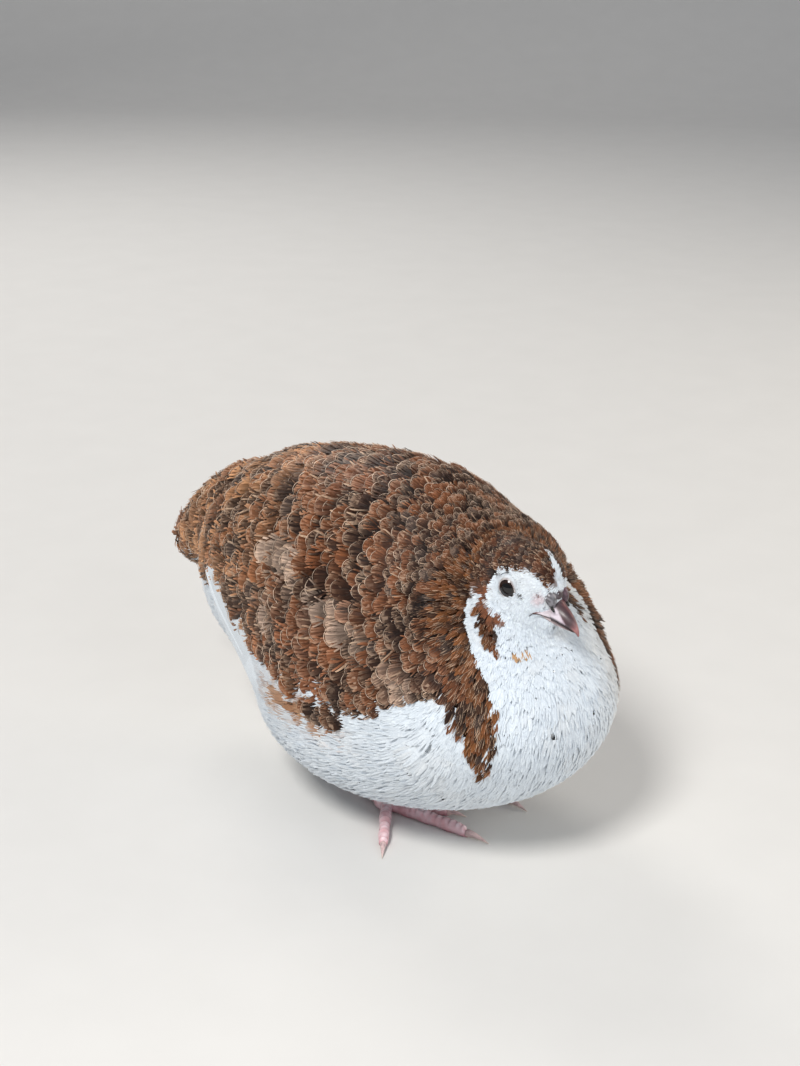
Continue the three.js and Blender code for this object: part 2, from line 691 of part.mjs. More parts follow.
// Rings in pairs, one high at the start of a scute and one low at its end.
function scutedLimb({ from, to, scutes, grow = 0, sizeAt }) {
  const heading = to.clone().sub(from).setZ(0).normalize();
  const rings = [];
  for (let i = 0; i < scutes; i++) {
    for (const [part, ridge] of [[SCUTE_FRONT, SCUTE_RISE], [1, 0]]) {
      const t = (i + part) / scutes;
      const { half, tall, height } = sizeAt(t);
      const centre = from.clone().lerp(to, t).setZ(height);
      rings.push(limbRing(centre, heading, half + grow, tall + grow, ridge));
    }
  }
  return loft(rings);
}

const onFloor = ([x, y]) => vec(x, y, 0);

function toeHeading({ side, turns }, digit) {
  const turn = degToRad(turns[digit]);
  return vec(side * Math.sin(turn), -Math.cos(turn), 0);
}

function toeSize({ half }, t) {
  const pads = TOE.padSwell * Math.cos(t * Math.PI * TOE.pads);
  const taper = lerp(TOE.root, TOE.tip, t) * (1 - TOE.blunt * smoothstep(t, TOE.end, 1));
  return { half: (half + pads) * taper, tall: half * taper * TOE.tall, height: half * taper * TOE.height };
}

function toeForm(foot, toe, grow = 0) {
  const from = onFloor(foot.foot);
  const to = from.clone().addScaledVector(toeHeading(foot, toe.digit), toe.length + grow);
  return scutedLimb({ from, to, scutes: toe.scutes, grow, sizeAt: (t) => toeSize(toe, t) });
}

function buildToe(foot, toe) {
  const form = toeForm(foot, toe).subtract(joined([palm(foot, GAP), shank(foot, GAP)]));
  const middle = TOES.find(({ digit }) => digit === 3);
  const beside = toe.digit === 2 || toe.digit === 4;
  return beside ? form.subtract(toeForm(foot, middle, GAP)) : form;
}

function buildClaw(foot, toe) {
  const heading = toeHeading(foot, toe.digit);
  const { half, height } = toeSize(toe, 1);
  const start = onFloor(foot.foot).addScaledVector(heading, toe.length + GAP);
  return loft(CLAW_STATIONS.map((t) => {
    const size = lerp(half * CLAW.root, CLAW.tip, t ** CLAW.taper);
    const droop = height * CLAW.height * (1 - CLAW.droop * t ** CLAW.curve);
    const centre = start.clone().addScaledVector(heading, toe.claw * t).setZ(droop);
    return limbRing(centre, heading, size * CLAW.slim, Math.min(size, droop * CLAW.under), 0);
  }));
}

function palm({ foot: [x, y] }, grow = 0) {
  const [rx, ry, rz] = PALM.radii;
  return ellipsoid(vec(x, y, rz - PALM.sunk), [rx + grow, ry + grow, rz + grow], PALM.detail);
}

function shank({ foot, hock }, grow = 0) {
  const { half, hockHalf, footHalf, footEnd, hockFrom, scutes, arch, sunk } = SHANK;
  return scutedLimb({
    from: onFloor(foot),
    to: onFloor(hock),
    scutes,
    grow,
    sizeAt: (t) => {
      const foreSwell = (footHalf - half) * (1 - smoothstep(t, 0, footEnd));
      const hockSwell = (hockHalf - half) * smoothstep(t, hockFrom, 1);
      const size = half + foreSwell + hockSwell;
      return { half: size, tall: size, height: size * sunk + arch * Math.sin(t * Math.PI) };
    },
  });
}

const above = (height) => halfSpace(vec(0, 0, height), vec(0, 0, 1));

// The feathered shin, from the hock up into the belly.
function buildLeg(foot) {
  const [x, y] = foot.hock;
  return ellipsoid(vec(x, y - THIGH.forward, THIGH.height), THIGH.radii, THIGH.detail)
    .subtract(torsoClearance)
    .subtract(shank(foot, GAP))
    .intersect(above(THIGH.floor));
}

addPiece("torso", buildTorso(), WHITE, 0.9);
addPiece("neck", buildNeck(), RUFOUS, 0.9);
addPiece("head", buildHead(), WHITE, 0.9);
addPiece("bill_upper", buildUpperBill(), HORN, 0.4);
addPiece("bill_lower", billForm(LOWER_BILL, LOWER_SECTION), PALE_HORN, 0.45);
addPiece("eye_right", eyeball(RIGHT), EYE_BLACK, 0.08);
addPiece("eye_left", eyeball(LEFT), EYE_BLACK, 0.08);
addPiece("wing_right", buildWing(RIGHT), MAHOGANY, 0.8);
addPiece("wing_left", buildWing(LEFT), MAHOGANY, 0.8);
addPiece("tail", buildTail(), MAHOGANY, 0.8);
for (const foot of FEET) {
  addPiece(`leg_${foot.name}`, buildLeg(foot), WHITE, 0.9);
  addPiece(`tarsus_${foot.name}`, joined([shank(foot), palm(foot)]).intersect(above(0)), FLESH, 0.55);
  for (const toe of TOES) {
    addPiece(`toe_${foot.name}_${toe.digit}`, buildToe(foot, toe), FLESH, 0.55);
    addPiece(`claw_${foot.name}_${toe.digit}`, buildClaw(foot, toe), CLAW_HORN, 0.35);
  }
}

// The origin is at the middle of the bird's box, on the floor.
const box = new THREE.Box3().setFromObject(bird);
bird.position.set(0, -(box.min.y + box.max.y) / 2, 0);

export default quail;
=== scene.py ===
import math

import bpy
import numpy as np
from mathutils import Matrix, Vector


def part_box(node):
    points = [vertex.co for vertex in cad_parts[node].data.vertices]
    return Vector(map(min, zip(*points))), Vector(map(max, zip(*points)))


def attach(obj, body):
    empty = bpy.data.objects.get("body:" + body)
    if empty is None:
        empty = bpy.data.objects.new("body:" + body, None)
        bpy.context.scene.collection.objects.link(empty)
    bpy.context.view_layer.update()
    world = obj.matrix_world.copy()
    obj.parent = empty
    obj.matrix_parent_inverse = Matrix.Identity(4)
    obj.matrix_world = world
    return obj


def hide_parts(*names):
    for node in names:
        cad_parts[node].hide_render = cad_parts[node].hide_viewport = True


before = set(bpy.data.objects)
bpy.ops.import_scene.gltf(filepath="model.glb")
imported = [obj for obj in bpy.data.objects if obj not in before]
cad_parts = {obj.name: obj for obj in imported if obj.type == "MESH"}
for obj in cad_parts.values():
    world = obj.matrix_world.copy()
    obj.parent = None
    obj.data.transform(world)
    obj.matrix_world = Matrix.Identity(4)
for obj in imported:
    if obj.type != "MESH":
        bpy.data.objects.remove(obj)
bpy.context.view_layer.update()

# Working units are millimetres, z up, with the bill towards -y and the right side at -x.
# The shift brings them onto the frame, and is read off the eye.
MM = 0.001
EYE_CENTRE = np.array([6.98, -47.67, 88.83])
EYE_RADIUS = 4.3
EYE_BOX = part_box("eye_right")
SHIFT = (EYE_BOX[0][1] + EYE_BOX[1][1]) / 2 / MM - EYE_CENTRE[1]
RIGHT, LEFT = -1, 1
SIDES = ((RIGHT, "right"), (LEFT, "left"))
EYES = {RIGHT: EYE_CENTRE * np.array([-1, 1, 1]), LEFT: EYE_CENTRE}

# The camera stands where the photographer stood: above the bird, off its right shoulder.
CAMERA_PLACE = (-397.96, -387.45, 306.49)
CAMERA_TURN = (68.6, -1.27, -44.92)
CAMERA_LENS = 65.85

camera = bpy.data.objects.new("camera", bpy.data.cameras.new("camera"))
bpy.context.scene.collection.objects.link(camera)
camera.location = (CAMERA_PLACE[0] * MM, (CAMERA_PLACE[1] + SHIFT) * MM, CAMERA_PLACE[2] * MM)
camera.rotation_euler = [math.radians(v) for v in CAMERA_TURN]
camera.data.lens = CAMERA_LENS
camera.data.clip_start = 0.01
bpy.context.scene.camera = camera


# Small helpers.
def smooth(x, a, b):
    t = np.clip((x - a) / (b - a), 0, 1)
    return t * t * (3 - 2 * t)


def mix(a, b, t):
    return a + (b - a) * t


def mixc(a, b, t):
    """Colours mixed by an array of shares."""
    return a + (np.asarray(b) - a) * np.asarray(t)[..., None]


def unit(v):
    return v / np.maximum(np.linalg.norm(v, axis=-1, keepdims=True), 1e-12)


def dot(a, b):
    return np.sum(a * b, axis=-1, keepdims=True)


def turned(v, axis, angle):
    """v turned about unit axis, both arrays of vectors, by an array of angles."""
    c = np.cos(angle)[..., None]
    s = np.sin(angle)[..., None]
    return v * c + np.cross(axis, v) * s + axis * dot(axis, v) * (1 - c)


def pitched(v, degrees):
    """Vectors with y and z turned about x."""
    c, s = math.cos(math.radians(degrees)), math.sin(math.radians(degrees))
    return np.stack([v[..., 0], v[..., 1] * c - v[..., 2] * s, v[..., 1] * s + v[..., 2] * c], -1)


def circle(count):
    """The cosines and sines of evenly spaced turns."""
    turn = np.linspace(0, 2 * np.pi, count, endpoint=False)
    return np.cos(turn), np.sin(turn)


def wobble(p, size, seed):
    """Soft noise between about -1 and 1, with lumps of about this size in mm."""
    rng = np.random.default_rng(seed)
    waves = unit(rng.normal(size=(7, 3))) * rng.uniform(0.7, 1.5, (7, 1)) * 2 * np.pi / (size * 2)
    total = np.sin(p @ waves.T + rng.uniform(0, 2 * np.pi, 7)).sum(axis=-1)
    return total / 3.2


# The plumed body: signed distance to blended ellipsoids, as the solids have it.
TRUNK = ((0, -1, 48.8), (44.9, 56.8, 62.2), 0.6, 0)
TRUNK_MASSES = [
    ((0, -33.9, 47.4), (41.1, 37.9, 29.5), 1, 14),
    ((0, 38.6, 67.2), (33.2, 49.4, 38), 20.7, 14),
    ((0, 87.9, 70), (12.6, 25.7, 11.3), 46.2, 10),
    ((0, -37.5, 64.2), (26.1, 18.3, 12.9), 14.2, 9),
    ((0, -33.7, 80.7), (30.9, 9.4, 18.3), 20.9, 8),
]
BELLY_HEIGHT = 8.5
BELLY_SOFT = 22
EYE_MIDPOINT = np.array([0, -48.7, 88.9])
HEAD_PITCH = 10
HEAD_SOFT = 5
FACE_SOFT = 4
SKULL = ((0, 3.2, -0.6), (10.3, 13.4, 10.9), 0, 0)
FACE_MASSES = [
    ((0, -3, 1.5), (6.5, 6.5, 7.8), 0, FACE_SOFT),
    ((0, -7.5, -3.6), (4.6, 5.2, 4.4), 0, FACE_SOFT),
    ((0, -7, -8.2), (4.5, 6, 3.4), 0, FACE_SOFT),
    ((5.2, -0.5, -6.2), (5.6, 7.5, 6.6), 0, FACE_SOFT),
    ((-5.2, -0.5, -6.2), (5.6, 7.5, 6.6), 0, FACE_SOFT),
]
HEAD_CENTRE = np.array([0, -50, 88])
HEAD_EDGE = (21, 17)
HEAD_FLOOR = 72


def ellipsoid(p, mass):
    """About how far outside an ellipsoid a place lies. A mass is a centre, radii, a pitch and a blend."""
    centre, radii, pitch, _ = mass
    r = np.array(radii, float)
    q = pitched(p - np.array(centre, float), pitch)
    reach = np.linalg.norm(q / r, axis=-1)
    slope = np.linalg.norm(q / r**2, axis=-1)
    return reach * (reach - 1) / np.maximum(slope, 1e-9)


def blend(a, b, soft):
    near = np.maximum(soft - np.abs(a - b), 0) / soft
    return np.minimum(a, b) - near * near * soft / 4


def blended(p, first, masses):
    d = ellipsoid(p, first)
    for mass in masses:
        d = blend(d, ellipsoid(p, mass), mass[3])
    return d


def head_axes(p):
    return pitched(p - EYE_MIDPOINT, -HEAD_PITCH)


def from_head(q):
    return pitched(np.asarray(q, float), HEAD_PITCH) + EYE_MIDPOINT


def body(p):
    d = blended(p, TRUNK, TRUNK_MASSES)
    d = -blend(-d, p[..., 2] - BELLY_HEIGHT, BELLY_SOFT)
    return blend(d, blended(head_axes(p), SKULL, FACE_MASSES), HEAD_SOFT)


def gradient(field, p, step=0.08):
    out = np.empty_like(p)
    for k in range(3):
        e = np.zeros(3)
        e[k] = step
        out[..., k] = field(p + e) - field(p - e)
    return unit(out)


def settle(p, height, rounds=3):
    """Points moved along the surface's normal until they stand at this height over it."""
    for _ in range(rounds):
        n = gradient(body, p)
        p = p + n * (height - body(p))[..., None]
    return p, gradient(body, p)


# Markings. Side places are given as the turn about the body's middle, 0 at the breast and 180 at
# the tail, against the height, so that both sides carry them.
TURN_CENTRE_Y = -10
COLLAR_FRONT = [(40, 29.3), (50, 28.6), (59, 26.9), (65, 28), (71, 30.8), (76, 32.8), (83, 32.9), (86.5, 30)]
WING_EDGE = [
    (24, 60), (29, 38), (31.5, 42), (35.7, 47), (40.8, 51), (41.7, 57.5), (44, 62.5), (51, 60), (60, 57.5),
    (66, 55), (74, 50.5), (82, 46.5), (90, 43), (96, 43.5), (101, 45.5), (106, 49), (112.5, 52), (126, 51.5),
    (138, 52), (142, 56), (152, 57.5), (155.6, 59.5), (157, 62), (158.5, 63.5), (161, 62), (180, 62),
]
CROWN_EDGE = [(-9.8, 3.1), (-8.1, 5.0), (-5.6, 6.2), (-2.3, 6.5), (1.7, 5.5), (5.7, 4.1), (7.2, 2.3)]
FACE_REAR = [
    (-22, -11.4), (-19, -7.9), (-15, -2.2), (-11, 1.5), (-7, 4.5), (-3.5, 6.2), (-1, 7.6), (2.3, 7.4),
]
STREAK = [(-10.5, 1.7), (-8, 0.6), (-5.3, 1.1), (-1.8, 2.8)]
EAR_SPOTS = [
    (14.1, -43.2, 88.1, 1.2), (15.4, -43.8, 86.2, 1.4), (16.4, -44.9, 84, 1.4), (16.7, -45.8, 82.5, 1.6),
    (17.2, -47.1, 80.6, 2.1), (17, -48.6, 79.1, 2.2), (15, -48.7, 80.1, 1.5), (14, -50.1, 79.3, 1.1),
    (18.1, -49.7, 77.3, 1.9), (18.6, -51, 75.7, 1.6), (18.8, -52.5, 74.1, 1.2), (18.8, -53.6, 72.9, 0.8),
]
BROW_SPOTS = [
    (-10.3, -44.4, 92.2, 0.6), (-9.2, -47.4, 93.4, 0.6), (-12.3, -47.2, 85.6, 0.35),
    (-9.7, -52.3, 87.5, 0.34), (-9.3, -53.1, 87.1, 0.3), (-8.8, -54, 86.8, 0.3), (-6.4, -56.8, 87.6, 0.4),
    (-10.8, -51.2, 84.4, 0.3),
]
LORE = (6.3, -57, 86.5)
THROAT_SPOT = (-13.7, -58.4, 70.5, 2.0)
WING_PATCHES = [
    (-44.9, -2, 50.6, 2.6), (-44.8, -7, 50.6, 2.8), (-44.6, -12, 49.6, 2.8), (-44.4, -17.5, 48.4, 2.6),
]
PALE_PATCHES = [
    (-33.5, 30, 83.5, 4), (-35.5, 21, 82.3, 5.5), (-37.7, 12.4, 80, 4.5), (-40.3, 1, 76, 4.2),
    (-40.8, -5.4, 74.5, 4.6), (-40.6, -10.8, 73, 4.4), (-40.2, -16.4, 71, 3.6), (-41, -31, 62.5, 3.6),
    (-40, -36, 60.5, 3.2), (-40.5, 24, 66, 5),
]
# Centres along and up the flank, and reaches, of its golden and its ruddy streaks.
GOLD_GLOW = (14, 42, 9, 4.5)
RUDDY_GLOW = (1, 41.5, 11, 4)
# The wing's low edge droops towards the tail from this place, at this slope.
DROOP_START = 72
DROOP_END = (88, 64)
DROOP_SLOPE = 1.035

CHESTNUT = np.array([0.255, 0.083, 0.029])
DARK = np.array([0.028, 0.013, 0.010])
SLATE = np.array([0.120, 0.080, 0.066])
DOWN = np.array([0.50, 0.37, 0.29])
RUFOUS = np.array([0.340, 0.122, 0.036])
FRINGE = np.array([0.64, 0.45, 0.31])
# Pale feather edges, brightened to stand for glints: partly their own colour, partly a painted highlight.
PALE_EDGE_GLINT = np.array([0.80, 0.62, 0.48])
BUFF = np.array([0.60, 0.34, 0.15])
# White with a blue cast; the cast is painted cool shade.
WHITE = np.array([0.78, 0.845, 0.90])
CREAM = np.array([0.86, 0.81, 0.73])
PINK = np.array([0.72, 0.42, 0.42])


def from_table(x, table):
    xs, ys = zip(*table)
    return np.interp(x, xs, ys)


def side_turn(p):
    return np.degrees(np.arctan2(np.abs(p[..., 0]), -(p[..., 1] - TURN_CENTRE_Y)))


def body_brown(p):
    """How far inside the body's brown a point lies, in mm, and how far behind the collar's front."""
    a = side_turn(p)
    z = p[..., 2]
    radius = np.hypot(p[..., 0], p[..., 1] - TURN_CENTRE_Y)
    behind = np.radians(a - from_table(z, COLLAR_FRONT)) * radius
    q = head_axes(p)
    behind = mix(behind, q[..., 1] - from_table(q[..., 2], FACE_REAR), smooth(q[..., 2], -19, -11))
    low = from_table(a, WING_EDGE)
    droop = DROOP_END[1] - DROOP_SLOPE * (p[..., 1] - DROOP_END[0])
    low = np.where(p[..., 1] > DROOP_START, np.minimum(low, droop), low)
    return np.minimum(behind, (z - low) * 0.9), behind


def crown_brown(q):
    """How far inside the brown of the crown and nape a place on the head lies, in mm."""
    x, y, z = q[..., 0], q[..., 1], q[..., 2]
    crown = np.where(y > 5.4, 3.0 + 0 * y, z - from_table(y, CROWN_EDGE))
    rear = y - from_table(z, FACE_REAR)
    brown = np.maximum(crown, rear)
    streak = np.interp(y, (-9, -2), (1.7, 0.5)) - np.abs(x - from_table(y, STREAK))
    streak = np.minimum(streak, -y - 1.4)
    return np.minimum(brown, -streak * 1.4)


def within(p, spots, mirrored=False):
    """How far inside any of these round spots a place lies, in mm."""
    inside = np.full(p.shape[:-1], -9.0)
    for sx, sy, sz, r in spots:
        x = np.abs(p[..., 0]) if mirrored else p[..., 0]
        off = np.stack([x - sx, p[..., 1] - sy, p[..., 2] - sz], -1)
        inside = np.maximum(inside, r - np.linalg.norm(off, axis=-1))
    return inside


def pale_patch(p):
    return smooth(within(p, PALE_PATCHES), -1.5, 1.5)


def brown_coat(p, on_head, behind, ear):
    """The colour of a brown feather: the back's, with paler ones and a rufous low edge on the wing, and
    over it the collar's, the crown's and that of the patch behind the cheek."""
    deep = smooth(wobble(p, 9, 11) + 0.5 * wobble(p, 4, 12), -1.0, 1.1)
    deep = np.clip(deep + 0.35 * smooth(p[..., 1], 0, -34) * smooth(p[..., 2], 64, 80), 0, 1)
    back = mixc(CHESTNUT, DARK, 0.12 + 0.68 * deep)
    back = mixc(back, mixc(CHESTNUT, BUFF, 0.5), 0.75 * smooth(p[..., 1], 10, 55) * (1 - 0.6 * deep))
    light = 0.5 * smooth(p[..., 2], 82, 66) * smooth(p[..., 1], -32, -8) + 0.75 * smooth(p[..., 1], 12, 42)
    back = mixc(back * (1 + light)[..., None], DOWN, 0.12 * light / 0.9)
    back = mixc(back, DOWN * 1.2, 0.85 * pale_patch(p))
    # A rufous band along the wing's low edge: partly the feathers' colour, partly a painted sheen.
    rufous_edge_and_sheen = smooth(p[..., 2] - from_table(side_turn(p), WING_EDGE), 6, 1.5)
    rufous_edge_and_sheen = rufous_edge_and_sheen * smooth(p[..., 1], -20, -8) * smooth(p[..., 1], 16, 8)
    back = mixc(back, RUFOUS, 0.75 * rufous_edge_and_sheen)
    collar = mixc(RUFOUS, DARK, 0.5 * smooth(wobble(p, 3.2, 13), -0.1, 1.1))
    coat = mixc(back, collar, smooth(behind, 11, 6))
    crown = mixc(CHESTNUT * 0.8, DARK, 0.4 + 0.5 * smooth(wobble(p, 2.5, 14), -0.8, 0.8))
    coat = mixc(coat, crown, on_head * (ear < -0.6))
    patch = mixc(CHESTNUT * 0.9, DARK, 0.5 * smooth(wobble(p, 1.5, 15), -0.5, 0.9))
    return mixc(coat, patch, smooth(ear, -0.9, -0.5))


def flank_glow(p, y, z, along, high):
    spread = ((p[..., 1] - y) / along) ** 2 + ((p[..., 2] - z) / high) ** 2
    return np.exp(-spread) * smooth(np.abs(p[..., 0]), 30, 38)


def white_coat(p):
    """The colour of a white feather: creamy on the left, streaked on the flank, spotted round the eye."""
    cream = smooth(p[..., 0], 5, 35) * 0.6 + 0.15 * smooth(wobble(p, 7, 21), 0, 1)
    white = mixc(WHITE, CREAM, cream)
    streaks = smooth(wobble(p * np.array([1, 0.35, 1]), 1.3, 22), -0.6, 0.6)
    gold = np.clip(flank_glow(p, *GOLD_GLOW) * (0.35 + 1.6 * streaks), 0, 0.9)
    white = mixc(white, mixc(BUFF, RUFOUS, 0.5 * streaks), gold)
    ruddy = np.clip(2.2 * flank_glow(p, *RUDDY_GLOW) * streaks, 0, 0.92)
    white = mixc(white, mixc(BUFF, RUFOUS, 0.8 * streaks), ruddy)
    white = mixc(white, DARK, 0.85 * smooth(within(p, BROW_SPOTS), -0.15, 0.1))
    white = mixc(white, BUFF, smooth(within(p, [THROAT_SPOT]), -0.5, 0.4))
    lore = np.linalg.norm(np.stack([np.abs(p[..., 0]), p[..., 1], p[..., 2]], -1) - np.array(LORE), axis=-1)
    return mixc(white, PINK, 0.45 * smooth(lore, 2.8, 0.6))


def plumage(p):
    """The colour of a brown feather at places on the body, that of a white one, and how brown they are."""
    on_head = smooth(np.linalg.norm(p - HEAD_CENTRE, axis=-1), *HEAD_EDGE) * (p[..., 2] > HEAD_FLOOR)
    body_in, behind = body_brown(p)
    ragged = 1.1 * wobble(p, 2.2, 5) + 0.7 * wobble(p, 1.1, 6)
    ear = within(p, EAR_SPOTS, mirrored=True)
    body_in = np.minimum(body_in, -within(p, WING_PATCHES))
    brown_body = smooth(body_in + 0.12 * ragged, -0.7, 0.7)
    brown_face = smooth(crown_brown(head_axes(p)) + 0.2 * ragged, -0.5, 0.5)
    ear_brown = smooth(ear + 0.3 * ragged, -0.2, 0.3)
    brown = np.maximum(np.where(on_head > 0.5, brown_face, brown_body), ear_brown)
    return brown_coat(p, on_head, behind, ear), white_coat(p), brown


def markings(p):
    coat, white, brown = plumage(p)
    return mixc(white, coat, brown)


def bake_place(p):
    """Each half of the skin, right and left, laid flat as seen from its own flank, without folds."""
    d = unit(p - np.array([0, 0, 60.0]))
    side = np.where(d[:, 0] < 0, 0.0, 1.0)
    r = 1 / np.sqrt(1 + np.abs(d[:, 0]))
    u = 0.25 + 0.5 * side + 0.235 * d[:, 1] * r
    v = 0.5 + 0.47 * d[:, 2] * r
    return np.stack([u, v], -1)


# Mesh building.
def to_frame(p):
    return (p + np.array([0, SHIFT, 0])) * MM


def add_mesh(name, verts, faces, colours=None, uvs=None, normals=None, under=None):
    """One mesh from arrays. faces is (n, 3) or (n, 4), uvs holds one place per vertex for each map.
    Given normals are turned over on the faces that are marked as the underside."""
    mesh = bpy.data.meshes.new(name)
    n, size = faces.shape
    mesh.vertices.add(len(verts))
    mesh.vertices.foreach_set("co", to_frame(verts).astype(np.float32).ravel())
    mesh.loops.add(n * size)
    mesh.loops.foreach_set("vertex_index", faces.astype(np.int32).ravel())
    mesh.polygons.add(n)
    mesh.polygons.foreach_set("loop_start", np.arange(0, n * size, size, dtype=np.int32))
    mesh.polygons.foreach_set("loop_total", np.full(n, size, dtype=np.int32))
    mesh.polygons.foreach_set("use_smooth", np.full(n, True))
    mesh.update(calc_edges=True)
    for label, places in (uvs or {}).items():
        layer = mesh.uv_layers.new(name=label)
        layer.data.foreach_set("uv", places[faces.ravel()].astype(np.float32).ravel())
    if colours is not None:
        layer = mesh.color_attributes.new(name="Tint", type="FLOAT_COLOR", domain="POINT")
        rgba = np.concatenate([colours, np.ones((len(colours), 1))], -1)
        layer.data.foreach_set("color", rgba.astype(np.float32).ravel())
    mesh.validate(clean_customdata=False)
    if normals is not None:
        loops = normals[faces.ravel()] * np.where(np.repeat(under, size), -1.0, 1.0)[:, None]
        mesh.normals_split_custom_set(loops.tolist())
    obj = bpy.data.objects.new(name, mesh)
    bpy.context.scene.collection.objects.link(obj)
    return obj


def surface(field, low, high, step):
    """A quad mesh of the surface where field is 0: one point in each cell that it crosses."""
    axes = [np.arange(a, b + step, step) for a, b in zip(low, high)]
    grid = np.stack(np.meshgrid(*axes, indexing="ij"), -1)
    value = np.empty(grid.shape[:3])
    for i in range(grid.shape[0]):
        value[i] = field(grid[i])
    n = [k - 1 for k in value.shape]
    place = np.zeros((*n, 3))
    count = np.zeros(n)
    corners = [np.array([i, j, k]) for i in (0, 1) for j in (0, 1) for k in (0, 1)]
    for a in corners:
        for b in corners:
            if np.sum(b - a) != 1 or np.min(b - a) < 0:
                continue
            va = value[a[0]:a[0] + n[0], a[1]:a[1] + n[1], a[2]:a[2] + n[2]]
            vb = value[b[0]:b[0] + n[0], b[1]:b[1] + n[1], b[2]:b[2] + n[2]]
            crossed = (va < 0) != (vb < 0)
            t = np.where(crossed, va / np.where(crossed, va - vb, 1), 0)
            place += np.where(crossed[..., None], a + t[..., None] * (b - a), 0)
            count += crossed
    active = count > 0
    index = np.full(n, -1)
    index[active] = np.arange(active.sum())
    cells = np.argwhere(active)
    verts = np.array(low) + (cells + place[active] / count[active][:, None]) * step
    faces = []
    inside = value < 0
    for axis in range(3):
        e, f = (axis + 1) % 3, (axis + 2) % 3
        first = np.take(inside, range(n[axis]), axis)
        second = np.take(inside, range(1, n[axis] + 1), axis)
        spots = np.argwhere(first != second)
        spots = spots[(spots[:, e] > 0) & (spots[:, f] > 0) & (spots[:, e] < n[e]) & (spots[:, f] < n[f])]
        quad = []
        for de, df in ((-1, -1), (0, -1), (0, 0), (-1, 0)):
            c = spots.copy()
            c[:, e] += de
            c[:, f] += df
            quad.append(index[c[:, 0], c[:, 1], c[:, 2]])
        quad = np.stack(quad, -1)
        leaving = first[tuple(spots.T)]
        faces.append(np.where(leaving[:, None], quad, quad[:, ::-1]))
    return verts, np.concatenate(faces)


# The skin: one closed surface under the feathers, from the face to the tail and the shins.
FACE_DEPTH = 0.55
BODY_DEPTH = 2.2
SHINS = [((-9, 24, 8.6), (6.6, 10, 5.2), 0, 6), ((13, 29, 8.6), (6.6, 10, 5.2), 0, 6)]
SHIN_FLOOR = 3.4
SKIN_STEP = 1.35
SKIN_LOW, SKIN_HIGH = (-48, -76, 1), (48, 112, 114)
EYE_SET_IN = 0.25


def coat_depth(p):
    return mix(FACE_DEPTH, BODY_DEPTH, smooth(np.linalg.norm(p - HEAD_CENTRE, axis=-1), 15, 26))


def skin_field(p):
    d = body(p) + coat_depth(p)
    for shin in SHINS:
        d = blend(d, np.maximum(ellipsoid(p, shin), SHIN_FLOOR - p[..., 2]), shin[3])
    for centre in EYES.values():
        d = np.maximum(d, EYE_RADIUS - EYE_SET_IN - np.linalg.norm(p - centre, axis=-1))
    return d


skin_verts, skin_faces = surface(skin_field, SKIN_LOW, SKIN_HIGH, SKIN_STEP)
for _ in range(2):
    towards = gradient(skin_field, skin_verts)
    skin_verts = skin_verts - towards * np.clip(skin_field(skin_verts), -0.5, 0.5)[:, None]


HEAD_DENSITY = 7


def area_points(count, seed):
    """Random points over the skin, closer together on the head."""
    rng = np.random.default_rng(seed)
    a, b, c, d = (skin_verts[skin_faces[:, k]] for k in range(4))
    area = np.linalg.norm(np.cross(c - a, d - b), axis=-1)
    area = area * mix(1, HEAD_DENSITY, smooth(np.linalg.norm(a - HEAD_CENTRE, axis=-1), 34, 17))
    pick = rng.choice(len(area), count, p=area / area.sum())
    u = rng.random((count, 1))
    v = rng.random((count, 1))
    return mix(mix(a[pick], b[pick], u), mix(d[pick], c[pick], u), v)


def spread_out(points, gap):
    """The points of a shuffled list that keep their own gap from those taken before."""
    cell = float(gap.max())
    keys = np.floor(points / cell).astype(int)
    taken = {}
    kept = []
    near = [(i, j, k) for i in (-1, 0, 1) for j in (-1, 0, 1) for k in (-1, 0, 1)]
    coords = points.tolist()
    gaps = gap.tolist()
    for n, (key, (x, y, z), g) in enumerate(zip(keys.tolist(), coords, gaps)):
        limit = g * g
        free = True
        for i, j, k in near:
            for ox, oy, oz in taken.get((key[0] + i, key[1] + j, key[2] + k), ()):
                if (ox - x) ** 2 + (oy - y) ** 2 + (oz - z) ** 2 < limit:
                    free = False
                    break
            if not free:
                break
        if free:
            taken.setdefault(tuple(key), []).append((x, y, z))
            kept.append(n)
    return np.array(kept, int)


# How feathers lie: back from the bill, down over the breast and along to the tail.
LIE_FROM = np.array([0, -77, 97])


def lie(p, n):
    v = unit((p - LIE_FROM) * np.array([0.7, 1, 1]))
    v[..., 2] *= mix(1, 0.5, smooth(p[..., 1], -30, 15))
    front = smooth(p[..., 1], -36, -54) * smooth(p[..., 2], 91, 82) * smooth(p[..., 2], 28, 44)
    down = np.stack([0.006 * p[..., 0], 0 * front + 0.12, 0 * front - 1], -1)
    v = mix(v, down, (0.85 * front)[..., None])
    flank = smooth(p[..., 1], -60, -32) * smooth(p[..., 2], 64, 50)
    v = mix(v, np.array([0, 1, -0.24]), flank[..., None])
    return unit(v - n * dot(v, n))


def follow(root, heading, length, stations, heights, free=2.0, combed=0.25):
    """Places, ways up and ways along at the stations of feathers that lie over the body."""
    p, h = root, heading
    n = gradient(body, p)
    places, ups, alongs = [], [], []
    for i, t in enumerate(stations):
        if t <= free:
            p, n = settle(p, heights[i], 2)
            h = unit(h - n * dot(h, n))
        places.append(p)
        ups.append(n)
        alongs.append(h)
        if i + 1 < len(stations):
            if combed and t <= free:
                h = unit(mix(h, lie(p, n), combed))
            p = p + h * (length * (stations[i + 1] - t))[:, None]
    return np.stack(places, 1), np.stack(ups, 1), np.stack(alongs, 1)


def repeated(faces, copies, size):
    """The faces of one form, repeated for copies that have size points each."""
    return (faces[None] + (np.arange(copies) * size)[:, None, None]).reshape(-1, faces.shape[1])


